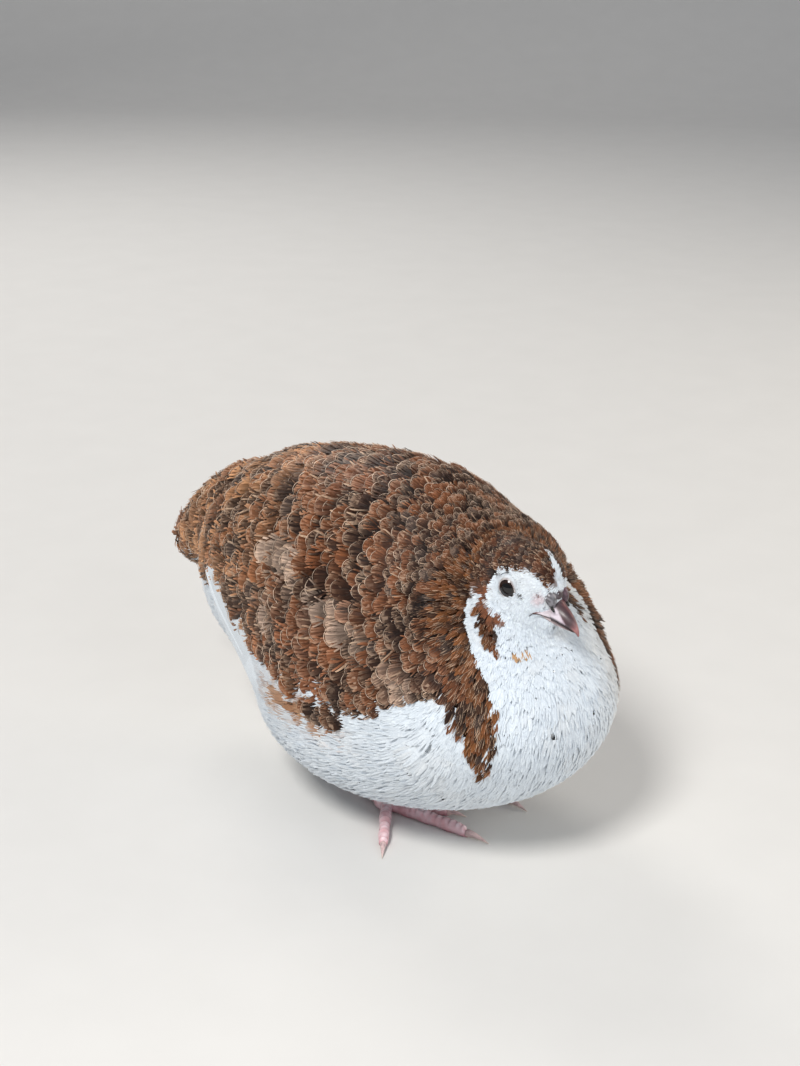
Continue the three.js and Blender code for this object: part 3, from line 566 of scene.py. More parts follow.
def patches(root, along, across, scale=0.003):
    """Places on the bake map: each feather is a small patch at its root's place."""
    centre = bake_place(root)
    extra = [1] * (along.ndim - centre.ndim + 1)
    centre = centre.reshape(centre.shape[0], *extra, 2)
    return centre + scale * np.stack([across - 0.5, along - 0.5], -1)


class Coat:
    """A run of feathers that ends up as one mesh."""

    def __init__(self):
        self.parts = []
        self.total = 0

    def add(self, verts, faces, under, tint, normals, bake, plume, fringe):
        arrays = [a.reshape(-1, a.shape[-1]) for a in (verts, tint, normals, bake, plume)]
        self.parts.append((*arrays, fringe.ravel(), faces + self.total, under))
        self.total += len(arrays[0])

    def build(self, name):
        arrays = [np.concatenate(a) for a in zip(*self.parts)]
        verts, tint, normals, bake, plume, fringe, faces, under = arrays
        maps = {"OFBake": bake, "Plume": plume}
        obj = add_mesh(name, verts, faces, tint, maps, normals, under)
        layer = obj.data.attributes.new("Fringe", "FLOAT", "POINT")
        layer.data.foreach_set("value", fringe.astype(np.float32))
        obj.data.uv_layers["Plume"].active_render = True
        return obj


def bowed(u, share=0.97):
    """How far a round end falls back at places across it, from 0 in the middle."""
    return 1 - np.sqrt(1 - share * u**2)


def thread_sides(i, edges):
    """Two triangles for each side between the three points from i on and the next three."""
    return [t for a, b in edges for t in ((i + a, i + b, i + b + 3), (i + a, i + b + 3, i + a + 3))]


def add_vanes(coat, root, frames, stations, width, profile, tint, rng, fringe=1.0, camber=0.09, columns=9,
              rounding=0.5, ragged=0.22, roll=0.0, tint_end=None):
    """Closed leaf-shaped feathers. Their rows bow towards a round tip, whose edge is ragged."""
    places, ups, alongs = frames
    count, rows = places.shape[:2]
    u = np.linspace(-1, 1, columns)
    t = np.array(stations)
    across = np.cross(alongs, ups)
    if np.any(roll):
        angle = np.broadcast_to(np.asarray(roll, float).reshape(-1, 1), (count, rows))
        across = turned(across, alongs, angle)
        ups = turned(ups, alongs, angle)
    half = (width / 2)[:, None] * np.array(profile)[None]
    bow = bowed(u) * rounding * 2
    back = half[..., None] * bow * (t**1.5)[None, :, None]
    grain = ragged * (width / 8)[:, None, None]
    back = back + rng.normal(0, 1, (count, 1, columns)) * grain * (t**3)[None, :, None]
    side = half[..., None] * u + rng.normal(0, 0.2, (count, rows, 1)) * grain * u
    down = camber * width[:, None, None] * u**2
    verts = (places[:, :, None] + across[:, :, None] * side[..., None]
             - alongs[:, :, None] * back[..., None] - ups[:, :, None] * down[..., None])
    over = np.gradient(verts, axis=2)
    onward = np.gradient(verts, axis=1)
    normals = unit(unit(np.cross(over, onward)) + 0.6 * ups[:, :, None])
    grid = np.arange(rows * columns).reshape(rows, columns)
    faces = []
    for i in range(rows - 1):
        for j in range(columns - 1):
            a, b, c, d = grid[i, j], grid[i, j + 1], grid[i + 1, j + 1], grid[i + 1, j]
            faces += [(a, b, c), (a, c, d)]
    tops = len(faces)
    for i in range(rows - 1):
        a, b, c, d = grid[i, 0], grid[i, -1], grid[i + 1, -1], grid[i + 1, 0]
        faces += [(a, c, b), (a, d, c)]
    for j in range(1, columns - 1):
        faces += [(grid[0, 0], grid[0, j + 1], grid[0, j]), (grid[-1, 0], grid[-1, j], grid[-1, j + 1])]
    under = np.tile(np.arange(len(faces)) >= tops, count)
    faces = repeated(np.array(faces), count, rows * columns)
    uu = np.broadcast_to((u + 1) / 2, verts.shape[:3])
    vv = np.broadcast_to(t[None, :, None], verts.shape[:3])
    shade = tint[:, None, None] * np.ones((1, rows, columns, 1))
    # The colour ramps from a darker root to the tip: painted shade under the feathers that lie over it, with
    # the feather's own darker base.
    if tint_end is not None:
        shade = mix(shade, tint_end[:, None, None], vv[..., None] ** 3)
    edge = np.broadcast_to(np.asarray(fringe, float).reshape(-1, 1, 1), verts.shape[:3])
    coat.add(verts, faces, under, shade, normals, patches(root, vv, uu), np.stack([uu, vv], -1), edge)


RIM_POINTS = 11


def add_rims(coat, root, frames, width, tint, rng, rounding=0.5, camber=0.09, radius=0.078):
    """A hair-like pale rim round the end of each feather, as a thin closed thread. It shows along a part
    of the end, and sinks into the feather beyond."""
    places, ups, alongs = (f[:, -1] for f in frames)
    across = np.cross(alongs, ups)
    count = len(places)
    u = np.linspace(-0.995, 0.995, RIM_POINTS)
    half = (width / 2 * FEATHER_PROFILE[-1])[:, None]
    back = half * bowed(u) * rounding * 2 - 0.12
    start = rng.uniform(-1.6, 0.2, (count, 1))
    shown = smooth(u, start, start + 0.5) * smooth(u, start + 2.3, start + 1.7)
    over = 0.10 + 0.10 * rng.random((count, 1)) - (1 - shown) * 0.45 - camber * width[:, None] * u**2
    line = (places[:, None] + across[:, None] * (half * u)[..., None] - alongs[:, None] * back[..., None]
            + ups[:, None] * over[..., None])
    r = (radius * np.minimum(width / 6, 1))[:, None, None] * (0.35 + 0.65 * shown)[..., None]
    sides = [line - alongs[:, None] * r, line + alongs[:, None] * r, line + ups[:, None] * r * 1.3]
    verts = np.stack(sides, 2).reshape(count, -1, 3)
    normals = np.repeat(ups[:, None], verts.shape[1], 1)
    last = 3 * (RIM_POINTS - 1)
    faces = [(0, 2, 1), (last, last + 1, last + 2)]
    for i in range(0, last, 3):
        faces += thread_sides(i, ((0, 1), (1, 2), (2, 0)))
    under = np.tile([k < 4 for k in range(len(faces))], count)
    faces = repeated(np.array(faces), count, last + 3)
    shade = np.repeat(tint[:, None], verts.shape[1], 1)
    still = np.full(verts.shape[:2], 0.3)
    plume = np.stack([still, still], -1)
    coat.add(verts, faces, under, shade, normals, patches(root, still, still), plume, 0 * still)


def add_strands(coat, root, frames, stations, width, strands, tint, rng, spread, thin=0.62, rise=0.3,
                lift=0.1, tone=0.07, root_tone=0.9, tip_tint=None, softness=0.85, rounding=0.0, curl=0.1,
                pale=0.0, bright_from=0.7, dark_to=0.0, stagger=0.0, taper=0.5):
    """Feathers made of loose barbs that fan out from one root, each a closed spike. With stagger they
    end at different lengths, taper is their thickness at the tip, and pale is the share of pale ones."""
    places, ups, alongs = frames
    count, rows = places.shape[:2]
    across = np.cross(alongs, ups)
    offset = np.linspace(-1, 1, strands)[None] + rng.normal(0, 0.55 / strands, (count, strands))
    t = np.array(stations)
    fan = np.array(spread)
    lateral = offset[..., None] * (width / 2)[:, None, None] * fan
    lateral = lateral + rng.normal(0, curl, (count, strands, 1)) * width[:, None, None] * t**2
    height = rng.normal(0, lift, (count, strands, 1)) * t * (1.2 - offset[..., None]**2 * 0.8)
    bow = bowed(np.clip(offset, -1, 1), 0.9) * rounding
    backward = bow[..., None] * width[:, None, None] * t**1.5
    if stagger:
        reach_of = np.linalg.norm(places[:, -1] - places[:, 0], axis=-1)[:, None, None]
        backward = backward + stagger * rng.random((count, strands, 1)) * reach_of * t**2
    centre = (places[:, None] + across[:, None] * lateral[..., None] + ups[:, None] * height[..., None]
              - alongs[:, None] * backward[..., None])
    reach = rng.uniform(0.4, 1.0, (count, strands, 1))
    tip = centre[:, :, -2] + (centre[:, :, -1] - centre[:, :, -2]) * reach
    body_rows = rows - 1
    size = (width / strands)[:, None, None] * thin * np.interp(t[:-1], (0, 0.4, 1), (0.8, 1, taper))
    side = across[:, None, :-1] * size[..., None]
    up = ups[:, None, :-1] * size[..., None] * rise
    ring = centre[:, :, :-1]
    verts = np.stack([ring - side, ring + side, ring + up], 3).reshape(count, strands, body_rows * 3, 3)
    verts = np.concatenate([verts, tip[:, :, None]], 2)
    outward = np.stack([np.broadcast_to(-across[:, None, :-1], ring.shape),
                        np.broadcast_to(across[:, None, :-1], ring.shape),
                        np.broadcast_to(ups[:, None, :-1], ring.shape)], 3)
    base = np.broadcast_to(ups[:, None, :-1, None], outward.shape)
    normals = unit(mix(outward, base, softness)).reshape(count, strands, body_rows * 3, 3)
    normals = np.concatenate([normals, np.broadcast_to(ups[:, None, -1:], (count, strands, 1, 3))], 2)
    last = 3 * (body_rows - 1)
    end = 3 * body_rows
    faces = [(0, 2, 1), (last, last + 1, end)]
    for i in range(0, last, 3):
        faces += thread_sides(i, ((0, 1),))
    bottoms = len(faces)
    for i in range(0, last, 3):
        faces += thread_sides(i, ((1, 2), (2, 0)))
    faces += [(last + 1, last + 2, end), (last + 2, last, end)]
    under = np.tile(np.arange(len(faces)) < bottoms, count * strands)
    faces = repeated(np.array(faces)[:, ::-1], count * strands, end + 1)
    rows_t = np.append(np.repeat(t[:-1], 3), 1.0)
    far = (rows_t - t[0]) / (1 - t[0])
    tones = 1 + rng.normal(0, tone, (count, strands, 1, 1))
    # Darker towards the root: painted shade under the feathers that lie over it, together with the feather's
    # own darker base.
    along_shade = np.interp(far, (dark_to, bright_from, 1), (root_tone, 1, 1.05))
    shade = tint[:, None, None] * tones * along_shade[:, None]
    if tip_tint is not None:
        tip_shade = tip_tint[:, None, None] * np.ones((1, strands, 1, 1))
        shade = mix(shade, tip_shade, (far**7 * 0.9)[:, None])
    hair = (rng.random((count, strands, 1, 1)) < pale) * rng.uniform(0.4, 0.9, (count, strands, 1, 1))
    shade = mix(shade, FRINGE, hair * smooth(far, 0.2, 0.6)[:, None])
    shade = np.clip(shade, 0, 0.95)
    vv = np.broadcast_to(rows_t, verts.shape[:3])
    uu = np.broadcast_to((offset[..., None] + 1) / 2, verts.shape[:3]).clip(0, 1)
    shade_row = rng.uniform(0.3, 0.5, (count, strands, 1)) + 0 * vv
    plume = np.stack([0.3 + 0 * vv, shade_row], -1)
    coat.add(verts, faces, under, shade, normals, patches(root, vv, uu), plume, np.zeros(verts.shape[:3]))


# Where feathers grow, and how large they are there.
CANDIDATES = 130000
MOUTH_LINE = [(-12.3, -6.0), (-10.4, -4.9), (-9.2, -4.6), (-8, -5.8)]
BILL_EDGE = [(-12.3, -2.9), (-10.4, -4.0), (-9.2, -4.1), (-8, -5.5)]
EYE_MARGIN = 4.4
HEAD_REACH = 17.5
points = area_points(CANDIDATES, 3)
points = settle(points, -1.0, 2)[0]
on_head_axes = head_axes(points)
head_distance = np.linalg.norm(points - HEAD_CENTRE, axis=-1)
outer = settle(points, 0.0, 1)[0]
shown_way = lie(points, gradient(body, points))
shown_far = mix(1.5, 5.5, smooth(head_distance, 16, 50)) + 2 * smooth(outer[:, 1], 15, 40)
brown_depth, behind_collar = body_brown(outer)
shown_far = shown_far * mix(1, 0.5, smooth(np.abs(behind_collar), 9, 3))
shown = outer + shown_way * shown_far[:, None]
brown = plumage(settle(shown, 0.0, 1)[0])[2]
from_eye = np.minimum(*(np.linalg.norm(points - c, axis=-1) for c in EYES.values()))


def bare_of_feathers(q):
    """The bill's own ground: between the nostrils, and down to just under the mouth's line."""
    x, y, z = np.abs(q[..., 0]), q[..., 1], q[..., 2]
    cere = (y < -9.2) & (x < 4.6) & (z < 2.0) & (z > -3.2)
    front = (y < -11.6) & (z < 0.5) & (z > -9.0)
    wedge = (y < -8) & (z < from_table(y, BILL_EDGE) + 0.3) & (z > from_table(y, MOUTH_LINE) - 0.9)
    return cere | wedge | front


on_sole = (points[:, 2] < 6) & (points[:, 1] > 8)
grows = (from_eye > EYE_MARGIN) & ~bare_of_feathers(on_head_axes) & ~on_sole
head_part = head_distance < HEAD_REACH
collar_depth = mix(15, 6.0, smooth(outer[:, 2], 54, 74))
is_brown = brown > 0.5
behind_cheek = within(outer, EAR_SPOTS, mirrored=True) >= -1
crown_part = is_brown & head_part & (on_head_axes[:, 2] > -3) & ~behind_cheek
face_part = head_part & ~crown_part
collar_part = is_brown & (behind_collar < collar_depth) & ~head_part
scale_part = is_brown & ~collar_part & ~head_part
white_part = ~head_part & ~is_brown


def population(part, gap, seed):
    """Which of the points in a part carry feathers that keep this gap."""
    chosen = np.flatnonzero(part & grows)
    chosen = chosen[np.random.default_rng(seed).permutation(len(chosen))]
    return chosen[spread_out(points[chosen], gap[chosen])]


def headings(picked, rng, stray):
    n = gradient(body, points[picked])
    way = lie(points[picked], n)
    return turned(way, n, rng.normal(0, stray, len(picked)))


# The turned head pushes the plumage out on the left of the neck.
NECK_FULL = np.array([28, -45, 72.5])
NECK_REACH = np.array([13, 13, 15])
NECK_RISE = 2.2

pieces = {}
FEATHER_STATIONS = (0, 0.3, 0.58, 0.8, 0.93, 1)
FEATHER_PROFILE = (0.35, 0.82, 1.0, 0.98, 0.9, 0.84)
FEATHER_MIDDLE = 3
BARB_START = 1
BARB_SPREAD = (0.45, 0.8, 0.97, 1.03, 1.0)


def grow(name, part, gap, length, width, barbs, seed, kind="brown", stray=0.12, high=0.4, uneven=0.15,
         columns=7, split=None, fringe=(0.3, 1.0), contrast=(0.7, 1.35), vane_shade=0.85, camber=0.09,
         rim=0.0, drop=0.18, spill=1.0, rounded=0.42, bright=1.0, vane_root_shade_and_tone=0.7, profile=FEATHER_PROFILE,
         **looks):
    """Feathers made of a vane, with loose barbs over it that stand out past its round end. rim is the
    share that has a pale thread, drop sets the vane under the barbs, and spill widens their fan."""
    picked = population(part, gap, seed)
    root = points[picked]
    rng = np.random.default_rng(seed)
    size = rng.uniform(0.87, 1.13, len(picked))
    long, wide = length[picked] * size, width[picked] * size
    scale = wide / 8
    lifted = rng.normal(0, uneven, len(picked))
    top = (high + lifted) * np.minimum(scale * 1.3, 1)
    full = np.linalg.norm((root - NECK_FULL) / NECK_REACH, axis=-1)
    top = top + NECK_RISE * smooth(full, 1.0, 0.25)
    bottom = -np.minimum(coat_depth(root) * 0.9, 0.3 + 1.6 * scale)
    heights = [mix(bottom, top, t**0.7) for t in FEATHER_STATIONS]
    frames = follow(root, headings(picked, rng, stray), long, FEATHER_STATIONS, heights)
    middle = frames[0][:, FEATHER_MIDDLE]
    blown = 0.0 if kind == "brown" else rng.normal(0, 0.6, (len(picked), 3))
    coat_colour, white_colour, _ = plumage(middle + blown)
    tint = coat_colour if kind == "brown" else white_colour
    tint = tint * rng.uniform(*contrast, len(picked))[:, None]
    if kind == "brown":
        sort = rng.random(len(picked))
        plain = 1 - 0.8 * pale_patch(middle)
        tint = mixc(tint, CHESTNUT * 1.3, 0.6 * bright * plain * (sort < 0.3))
        tint = mixc(tint, DARK, 0.8 * plain * (sort > 0.62))
        tint = mixc(tint, SLATE, 0.75 * plain * (sort > 0.92))
    edge = rng.uniform(*fringe, len(picked))
    tip = mixc(tint, FRINGE, edge) if kind == "brown" else None
    lowered = (frames[0] - frames[1] * (drop * scale)[:, None, None], frames[1], frames[2])
    barb_frames = [f[:, BARB_START:] for f in frames]
    sets = [(name, np.ones(len(picked), bool))]
    if split is not None:
        sets = [(name + "_right", root[:, 0] < split), (name + "_left", root[:, 0] >= split)]
    for label, mine in sets:
        coat = pieces.setdefault(label, Coat())
        # The vane is darker than its barbs, a painted shade under them, and darker again at its root.
        add_vanes(coat, root[mine], [f[mine] for f in lowered], FEATHER_STATIONS, wide[mine], profile,
                  tint[mine] * vane_shade * vane_root_shade_and_tone, rng, edge[mine] * 0.6, columns=columns, camber=camber,
                  roll=rng.normal(0, 0.07, mine.sum()), tint_end=tint[mine] * vane_shade)
        add_strands(coat, root[mine], [f[mine] for f in barb_frames], FEATHER_STATIONS[BARB_START:],
                    wide[mine] * spill, barbs, tint[mine], rng, BARB_SPREAD, rounding=rounded,
                    tip_tint=None if tip is None else tip[mine], **looks)
        if rim:
            rimmed = mine & (rng.random(len(mine)) < rim)
            # Pale rims on some feathers, brightened as painted glints.
            add_rims(coat, root[rimmed], [f[rimmed] for f in frames], wide[rimmed],
                     PALE_EDGE_GLINT * rng.uniform(0.45, 1.15, (rimmed.sum(), 1)), rng)


def grow_strands(name, part, gap, length, width, strands, stations, lifts, spread, seed, stray, **looks):
    """Small feathers that are only a few loose barbs each."""
    picked = population(part, gap, seed)
    root = points[picked]
    rng = np.random.default_rng(seed)
    long = length[picked] * rng.uniform(0.85, 1.15, len(picked))
    depth = coat_depth(root)
    bend, rise, uneven = lifts
    heights = [mix(-depth * 0.8, rise + rng.normal(0, uneven, len(picked)), t**bend) for t in stations]
    frames = follow(root, headings(picked, rng, stray), long, stations, heights)
    tint = markings(frames[0][:, len(stations) * 3 // 5])
    coat = pieces.setdefault(name, Coat())
    add_strands(coat, root, frames, stations, width[picked], strands, tint, rng, spread, **looks)


SIZE = smooth(head_distance, 14, 40)
EVERYWHERE = np.ones(len(points))
BREAST_LINE = -33
RUMP_LINE = 4

# White plumage: short on the throat, long and silky on the belly, shorter still where its tips would
# lie over the brown's edge.
near_brown = mix(0.55, 1.0, smooth(brown_depth, -0.5, -6))
white_length = mix(3.6, 14.0, SIZE) * near_brown
full_length = white_length
for _ in range(3):
    tips = settle(outer + shown_way * (white_length * 0.9)[:, None], 0.0, 1)[0]
    over_brown = (plumage(tips)[2] > 0.5) & (np.abs(behind_collar) < 9)
    white_length = white_length * np.where(over_brown, 0.7, 1)
white_part = white_part & ~over_brown
shortened = white_length / full_length
gold_flank = smooth(np.hypot((outer[:, 1] - 8) / 20, (outer[:, 2] - 42) / 9), 1.1, 0.8)
white_width = mix(2.0, 7.4, SIZE) * mix(0.4, 1.0, smooth(brown_depth, -0.5, -8)) * mix(1, 0.5, gold_flank)
white_width = white_width * shortened ** 0.8
white_gap = mix(1.15, 2.95, SIZE) * near_brown * mix(1, 0.75, gold_flank) * shortened ** 0.4
WHITE_PROFILE = (0.5, 0.95, 1.0, 0.72, 0.34, 0.08)
on_breast = outer[:, 1] < BREAST_LINE
for name, part in (("coat_breast", on_breast), ("coat_belly", ~on_breast)):
    grow(name, white_part & part, white_gap, white_length, white_width, barbs=10, seed=41, kind="white",
         high=0.16, uneven=0.05, columns=5, split=0, contrast=(0.97, 1.02), vane_shade=1.0, vane_root_shade_and_tone=0.95,
         fringe=(0, 0), camber=0.02, drop=0.14, spill=1.2, rounded=0.12, thin=0.85, rise=0.25, lift=0.05,
         tone=0.015, root_tone=0.98, curl=0.05, profile=WHITE_PROFILE, stagger=0.3, taper=0.25)

# The collar, in narrow rufous feathers with pale barbs.
COLLAR_PROFILE = (0.4, 0.85, 0.9, 0.65, 0.4, 0.15)
grow("coat_collar", collar_part, mix(1.0, 1.4, SIZE), mix(3.2, 5.4, SIZE), mix(1.5, 2.4, SIZE), barbs=8,
     seed=43, stray=0.24, high=1.5, uneven=0.4, columns=5, contrast=(0.6, 1.35), fringe=(0.1, 1.0),
     thin=0.45, lift=0.22, tone=0.2, curl=0.16, root_tone=0.3, rounded=0.25, vane_shade=0.6, pale=0.26,
     dark_to=0.2, bright_from=0.9, profile=COLLAR_PROFILE, stagger=0.3, taper=0.25)

# The face, in the smallest feathers, and the crown in tiny scales.
FACE_STATIONS = (0, 0.4, 0.8, 1)
away_from_bill = smooth(head_distance, 9, 17)
face_length = mix(1.6, 2.8, away_from_bill) * mix(0.4, 1, smooth(from_eye, EYE_MARGIN, 7.5))
grow_strands("coat_face", face_part, mix(0.5, 0.8, away_from_bill), face_length, 1.1 * EVERYWHERE, 4,
             FACE_STATIONS, (0.5, 0.05, 0.04), (0.4, 0.9, 1.0, 0.8), seed=47, stray=0.1, lift=0.04,
             tone=0.05, softness=0.92, root_tone=0.97)
grow("coat_crown", crown_part, 0.98 * EVERYWHERE, 2.8 * EVERYWHERE, 1.9 * EVERYWHERE, barbs=5, seed=49,
     stray=0.2, high=0.5, uneven=0.3, columns=5, contrast=(0.6, 1.4), fringe=(0.1, 1.0), thin=0.5,
     lift=0.08, tone=0.15, root_tone=0.45, vane_shade=0.6, rim=0.35, bright=0.3, pale=0.08, dark_to=0.2,
     bright_from=0.95)

# The back, rump and wing coverts, in overlapping scales with pale edges.
scale_size = mix(0.40, 1.0, smooth(head_distance, 22, 62)) * mix(0.62, 1, smooth(brown_depth, 0, 7))
on_back = outer[:, 1] < RUMP_LINE
for name, part, seed in (("coat_back", on_back, 53), ("coat_rump", ~on_back, 55)):
    grow(name, scale_part & part, 3.4 * scale_size, 11.2 * scale_size, 8.2 * scale_size, barbs=9, seed=seed,
         stray=0.17, high=0.75, uneven=0.42, split=0, contrast=(0.6, 1.5), fringe=(0.2, 1.0), thin=0.5,
         lift=0.05, tone=0.12, root_tone=0.2, vane_shade=0.7, rim=0.95, vane_root_shade_and_tone=0.2, pale=0.035,
         dark_to=0.3, bright_from=0.97)

# Short plumes on the shins, which swell out of the belly over the hocks.
SHIN_PLUME = 2.8
SHIN_WAY = np.array([0, 0.8, -0.6])
on_shin = (body(skin_verts) > -1.7) & (skin_verts[:, 1] > 8) & (skin_verts[:, 2] > SHIN_FLOOR + 0.3)
on_shin = on_shin & (skin_verts[:, 2] < 20)
shin_root = skin_verts[on_shin]
shin_up = gradient(skin_field, shin_root)
shin_way = unit(SHIN_WAY - shin_up * dot(shin_up, SHIN_WAY))
shin_rng = np.random.default_rng(57)
far = np.array(FACE_STATIONS)[None, :, None]
shin_places = shin_root[:, None] + shin_way[:, None] * far * SHIN_PLUME
shin_places += shin_up[:, None] * (0.4 * far - 0.1)
shin_places[..., 2] = np.maximum(shin_places[..., 2], SHIN_FLOOR - 1)
level = np.ones((1, len(FACE_STATIONS), 1))
shin_frames = (shin_places, shin_up[:, None] * level, shin_way[:, None] * level)
add_strands(pieces.setdefault("coat_shins", Coat()), shin_root, shin_frames, FACE_STATIONS,
            np.full(len(shin_root), 2.2), 5, markings(shin_root), shin_rng, (0.5, 0.9, 1.0, 0.8), lift=0.08,
            tone=0.04, root_tone=0.95)


# The folded wings: white flight feathers low on the flank, brown ones over them. Each row has its low
# and high end (y, z), count, length, width, fall at both ends, lifts, tint and fringe.
FLIGHT_STATIONS = (0, 0.15, 0.35, 0.55, 0.75, 0.9, 1)
FLIGHT_PROFILE = (0.45, 0.8, 1.0, 1.0, 0.92, 0.7, 0.42)
FLIGHT_ROLL = 0.2
FLANK_START = 60.0
FLIGHT_ROWS = [
    ((18, 37), (25, 46), 6, 43, 9.5, (-23, -30), (-2.0, 0.2, 0.9), WHITE * 1.04, 0.15),
    ((14, 47), (19, 86), 8, 34, 12, (-7, 14), (-2.4, -1.5, -1.0), CHESTNUT * 0.8, 0.5),
    ((30, 58), (35, 84), 4, 36, 14, (-2, 14), (-2.2, -1.3, -0.8), CHESTNUT * 0.75, 0.5),
]


def moved_in(p, side, height, share, least=0):
    """Places brought in from one side, by a share of the way at a time, until they stand this high
    over the body. None comes nearer than least to the middle."""
    for _ in range(60):
        p[:, 0] -= side * share * (body(p) - height)
        p[:, 0] = side * np.maximum(side * p[:, 0], least)
    return p


def flight_row(coat, side, rng, low, high, count, length, width, fall, lifts, tint, fringe):
    u = np.linspace(0, 1, count)
    starts = [(side * FLANK_START, mix(low[0], high[0], k), mix(low[1], high[1], k)) for k in u]
    roots = moved_in(np.array(starts), side, lifts[0], 0.7)
    angle = np.radians(mix(fall[0], fall[1], u) + rng.normal(0, 1.0, count))
    ways = np.stack([0 * angle, np.cos(angle), -np.sin(angle)], -1)
    long = length * (1 + rng.normal(0, 0.04, count))
    heights = [mix(lifts[0], lifts[1], smooth(t, 0, 0.3)) + (lifts[2] - lifts[1]) * t + 0 * u
               for t in FLIGHT_STATIONS]
    frames = follow(roots, ways, long, FLIGHT_STATIONS, heights, combed=0)
    tints = tint * rng.uniform(0.88, 1.1, (count, 1))
    add_vanes(coat, roots, frames, FLIGHT_STATIONS, np.full(count, float(width)), FLIGHT_PROFILE, tints,
              rng, np.full(count, fringe), camber=0.05, columns=11, rounding=0.55, ragged=0.12,
              roll=-side * FLIGHT_ROLL)


for side, name, seed in ((RIGHT, "wing_right_plumes", 61), (LEFT, "wing_left_plumes", 67)):
    rng = np.random.default_rng(seed)
    coat = pieces.setdefault(name, Coat())
    for row in FLIGHT_ROWS:
        flight_row(coat, side, rng, *row)

# The tail feathers, in two fans that droop from the rump, with coverts from the rump's own scales.
TAIL_ROOT = np.array([0, 80, 78])
TAIL_DROOP = math.radians(46)
TAIL_COUNT = 12
TAIL_SPREAD = 1.25
TAIL_PROFILE = (0.5, 0.85, 1, 1, 0.92, 0.74, 0.45)
TAIL_LAYERS = ((0.0, -0.6, 31), (0.1, -3.2, 29))
tail_rng = np.random.default_rng(71)
tail = pieces.setdefault("tail_plumes", Coat())
for layer, (droop_more, lift, length) in enumerate(TAIL_LAYERS):
    fan = np.linspace(-1, 1, TAIL_COUNT - layer * 4)
    way = np.array([0, math.cos(TAIL_DROOP + droop_more), -math.sin(TAIL_DROOP + droop_more)])
    above = np.array([0, -way[2], way[1]])
    spot = np.sin(fan * TAIL_SPREAD)[:, None] * np.array([9.0, 0, 0])
    spot = spot + np.cos(fan * TAIL_SPREAD)[:, None] * above * 7.5
    roots = settle(TAIL_ROOT + way * 2 + spot, lift - 1.5, 4)[0]
    ways = unit(way + np.array([1.0, 0, 0]) * (fan * 0.10)[:, None])
    heights = [np.full(len(fan), mix(lift - 1.5, lift, smooth(t, 0, 0.3))) for t in FLIGHT_STATIONS]
    long = length * (1 - 0.10 * fan**2) * (1 + tail_rng.normal(0, 0.02, len(fan)))
    frames = follow(roots, ways, long, FLIGHT_STATIONS, heights, free=0.76, combed=0)
    tints = (CHESTNUT * 0.62) * tail_rng.uniform(0.75, 1.15, (len(fan), 1))
    add_vanes(tail, roots, frames, FLIGHT_STATIONS, np.full(len(fan), 8.5), TAIL_PROFILE, tints, tail_rng,
              np.full(len(fan), 0.55), camber=0.06, columns=9, ragged=0.15, roll=-np.sign(fan) * 0.16)


# Eyes: a dark brown iris round a black pupil, under a clear dome.
EYE_AXIS = unit(pitched(np.array([0.93, -0.33, 0.08]), HEAD_PITCH))
DOME_RISE = 0.12
PUPIL = (0.002, 0.002, 0.002)
IRIS = ((0.030, 0.011, 0.005), (0.012, 0.005, 0.003))
IRIS_RIM = (0.008, 0.005, 0.004)


def eye_ring(side, count):
    """The eye's centre and axis, its up and across, and ways round the axis."""
    axis = EYE_AXIS * np.array([side, 1, 1])
    up = unit(np.array([0, 0, 1.0]) - axis * axis[2])
    across = np.cross(axis, up)
    c, s = circle(count)
    return EYES[side], axis, up, across, c[:, None] * up + s[:, None] * across


def ring_mesh(rings, closed_ends=True):
    """Quads between rings of points, with a fan at each end."""
    rings = np.asarray(rings)
    count, size = rings.shape[:2]
    verts = rings.reshape(-1, 3)
    j = np.arange(size)
    k = (j + 1) % size
    faces = [np.stack([i * size + j, i * size + k, (i + 1) * size + k, (i + 1) * size + j], -1)
             for i in range(count - 1)]
    quads = np.concatenate(faces)
    tris = np.concatenate([quads[:, [0, 1, 2]], quads[:, [0, 2, 3]]])
    if closed_ends:
        verts = np.concatenate([verts, rings[0].mean(0, keepdims=True), rings[-1].mean(0, keepdims=True)])
        n = count * size
        start = np.stack([np.full(size, n), k, j], -1)
        end = np.stack([np.full(size, n + 1), n - size + j, n - size + k], -1)
        tris = np.concatenate([tris, start, end])
    return verts, tris


def outward_mesh(verts, tris):
    """The same mesh with its faces turned outwards."""
    a, b, c = (verts[tris[:, k]] for k in range(3))
    volume = np.sum(a * np.cross(b, c))
    return verts, tris if volume > 0 else tris[:, ::-1]


def eyeball(side, word):
    centre, axis, up, across, round_axis = eye_ring(side, 48)
    polar = np.concatenate([np.linspace(0.03, 1.0, 22), np.linspace(1.1, 3.05, 12)])
    dome = EYE_RADIUS + DOME_RISE * np.exp(-((polar / 0.5) ** 2))
    along, out = (np.cos(polar) * dome)[:, None, None], (np.sin(polar) * dome)[:, None, None]
    rings = centre + axis * along + round_axis * out
    verts, tris = outward_mesh(*ring_mesh(rings))
    off = verts - centre
    angle = np.arccos(np.clip(unit(off) @ axis, -1, 1))
    tint = mixc(*IRIS, 0.5 + 0.5 * np.sin(np.arctan2(off @ across, off @ up) * 23))
    tint = mixc(PUPIL, tint, smooth(angle, 0.40, 0.44))
    tint = mixc(tint, IRIS_RIM, smooth(angle, 0.66, 0.74))
    return add_mesh(f"eye_{word}_ball", verts, tris, tint)


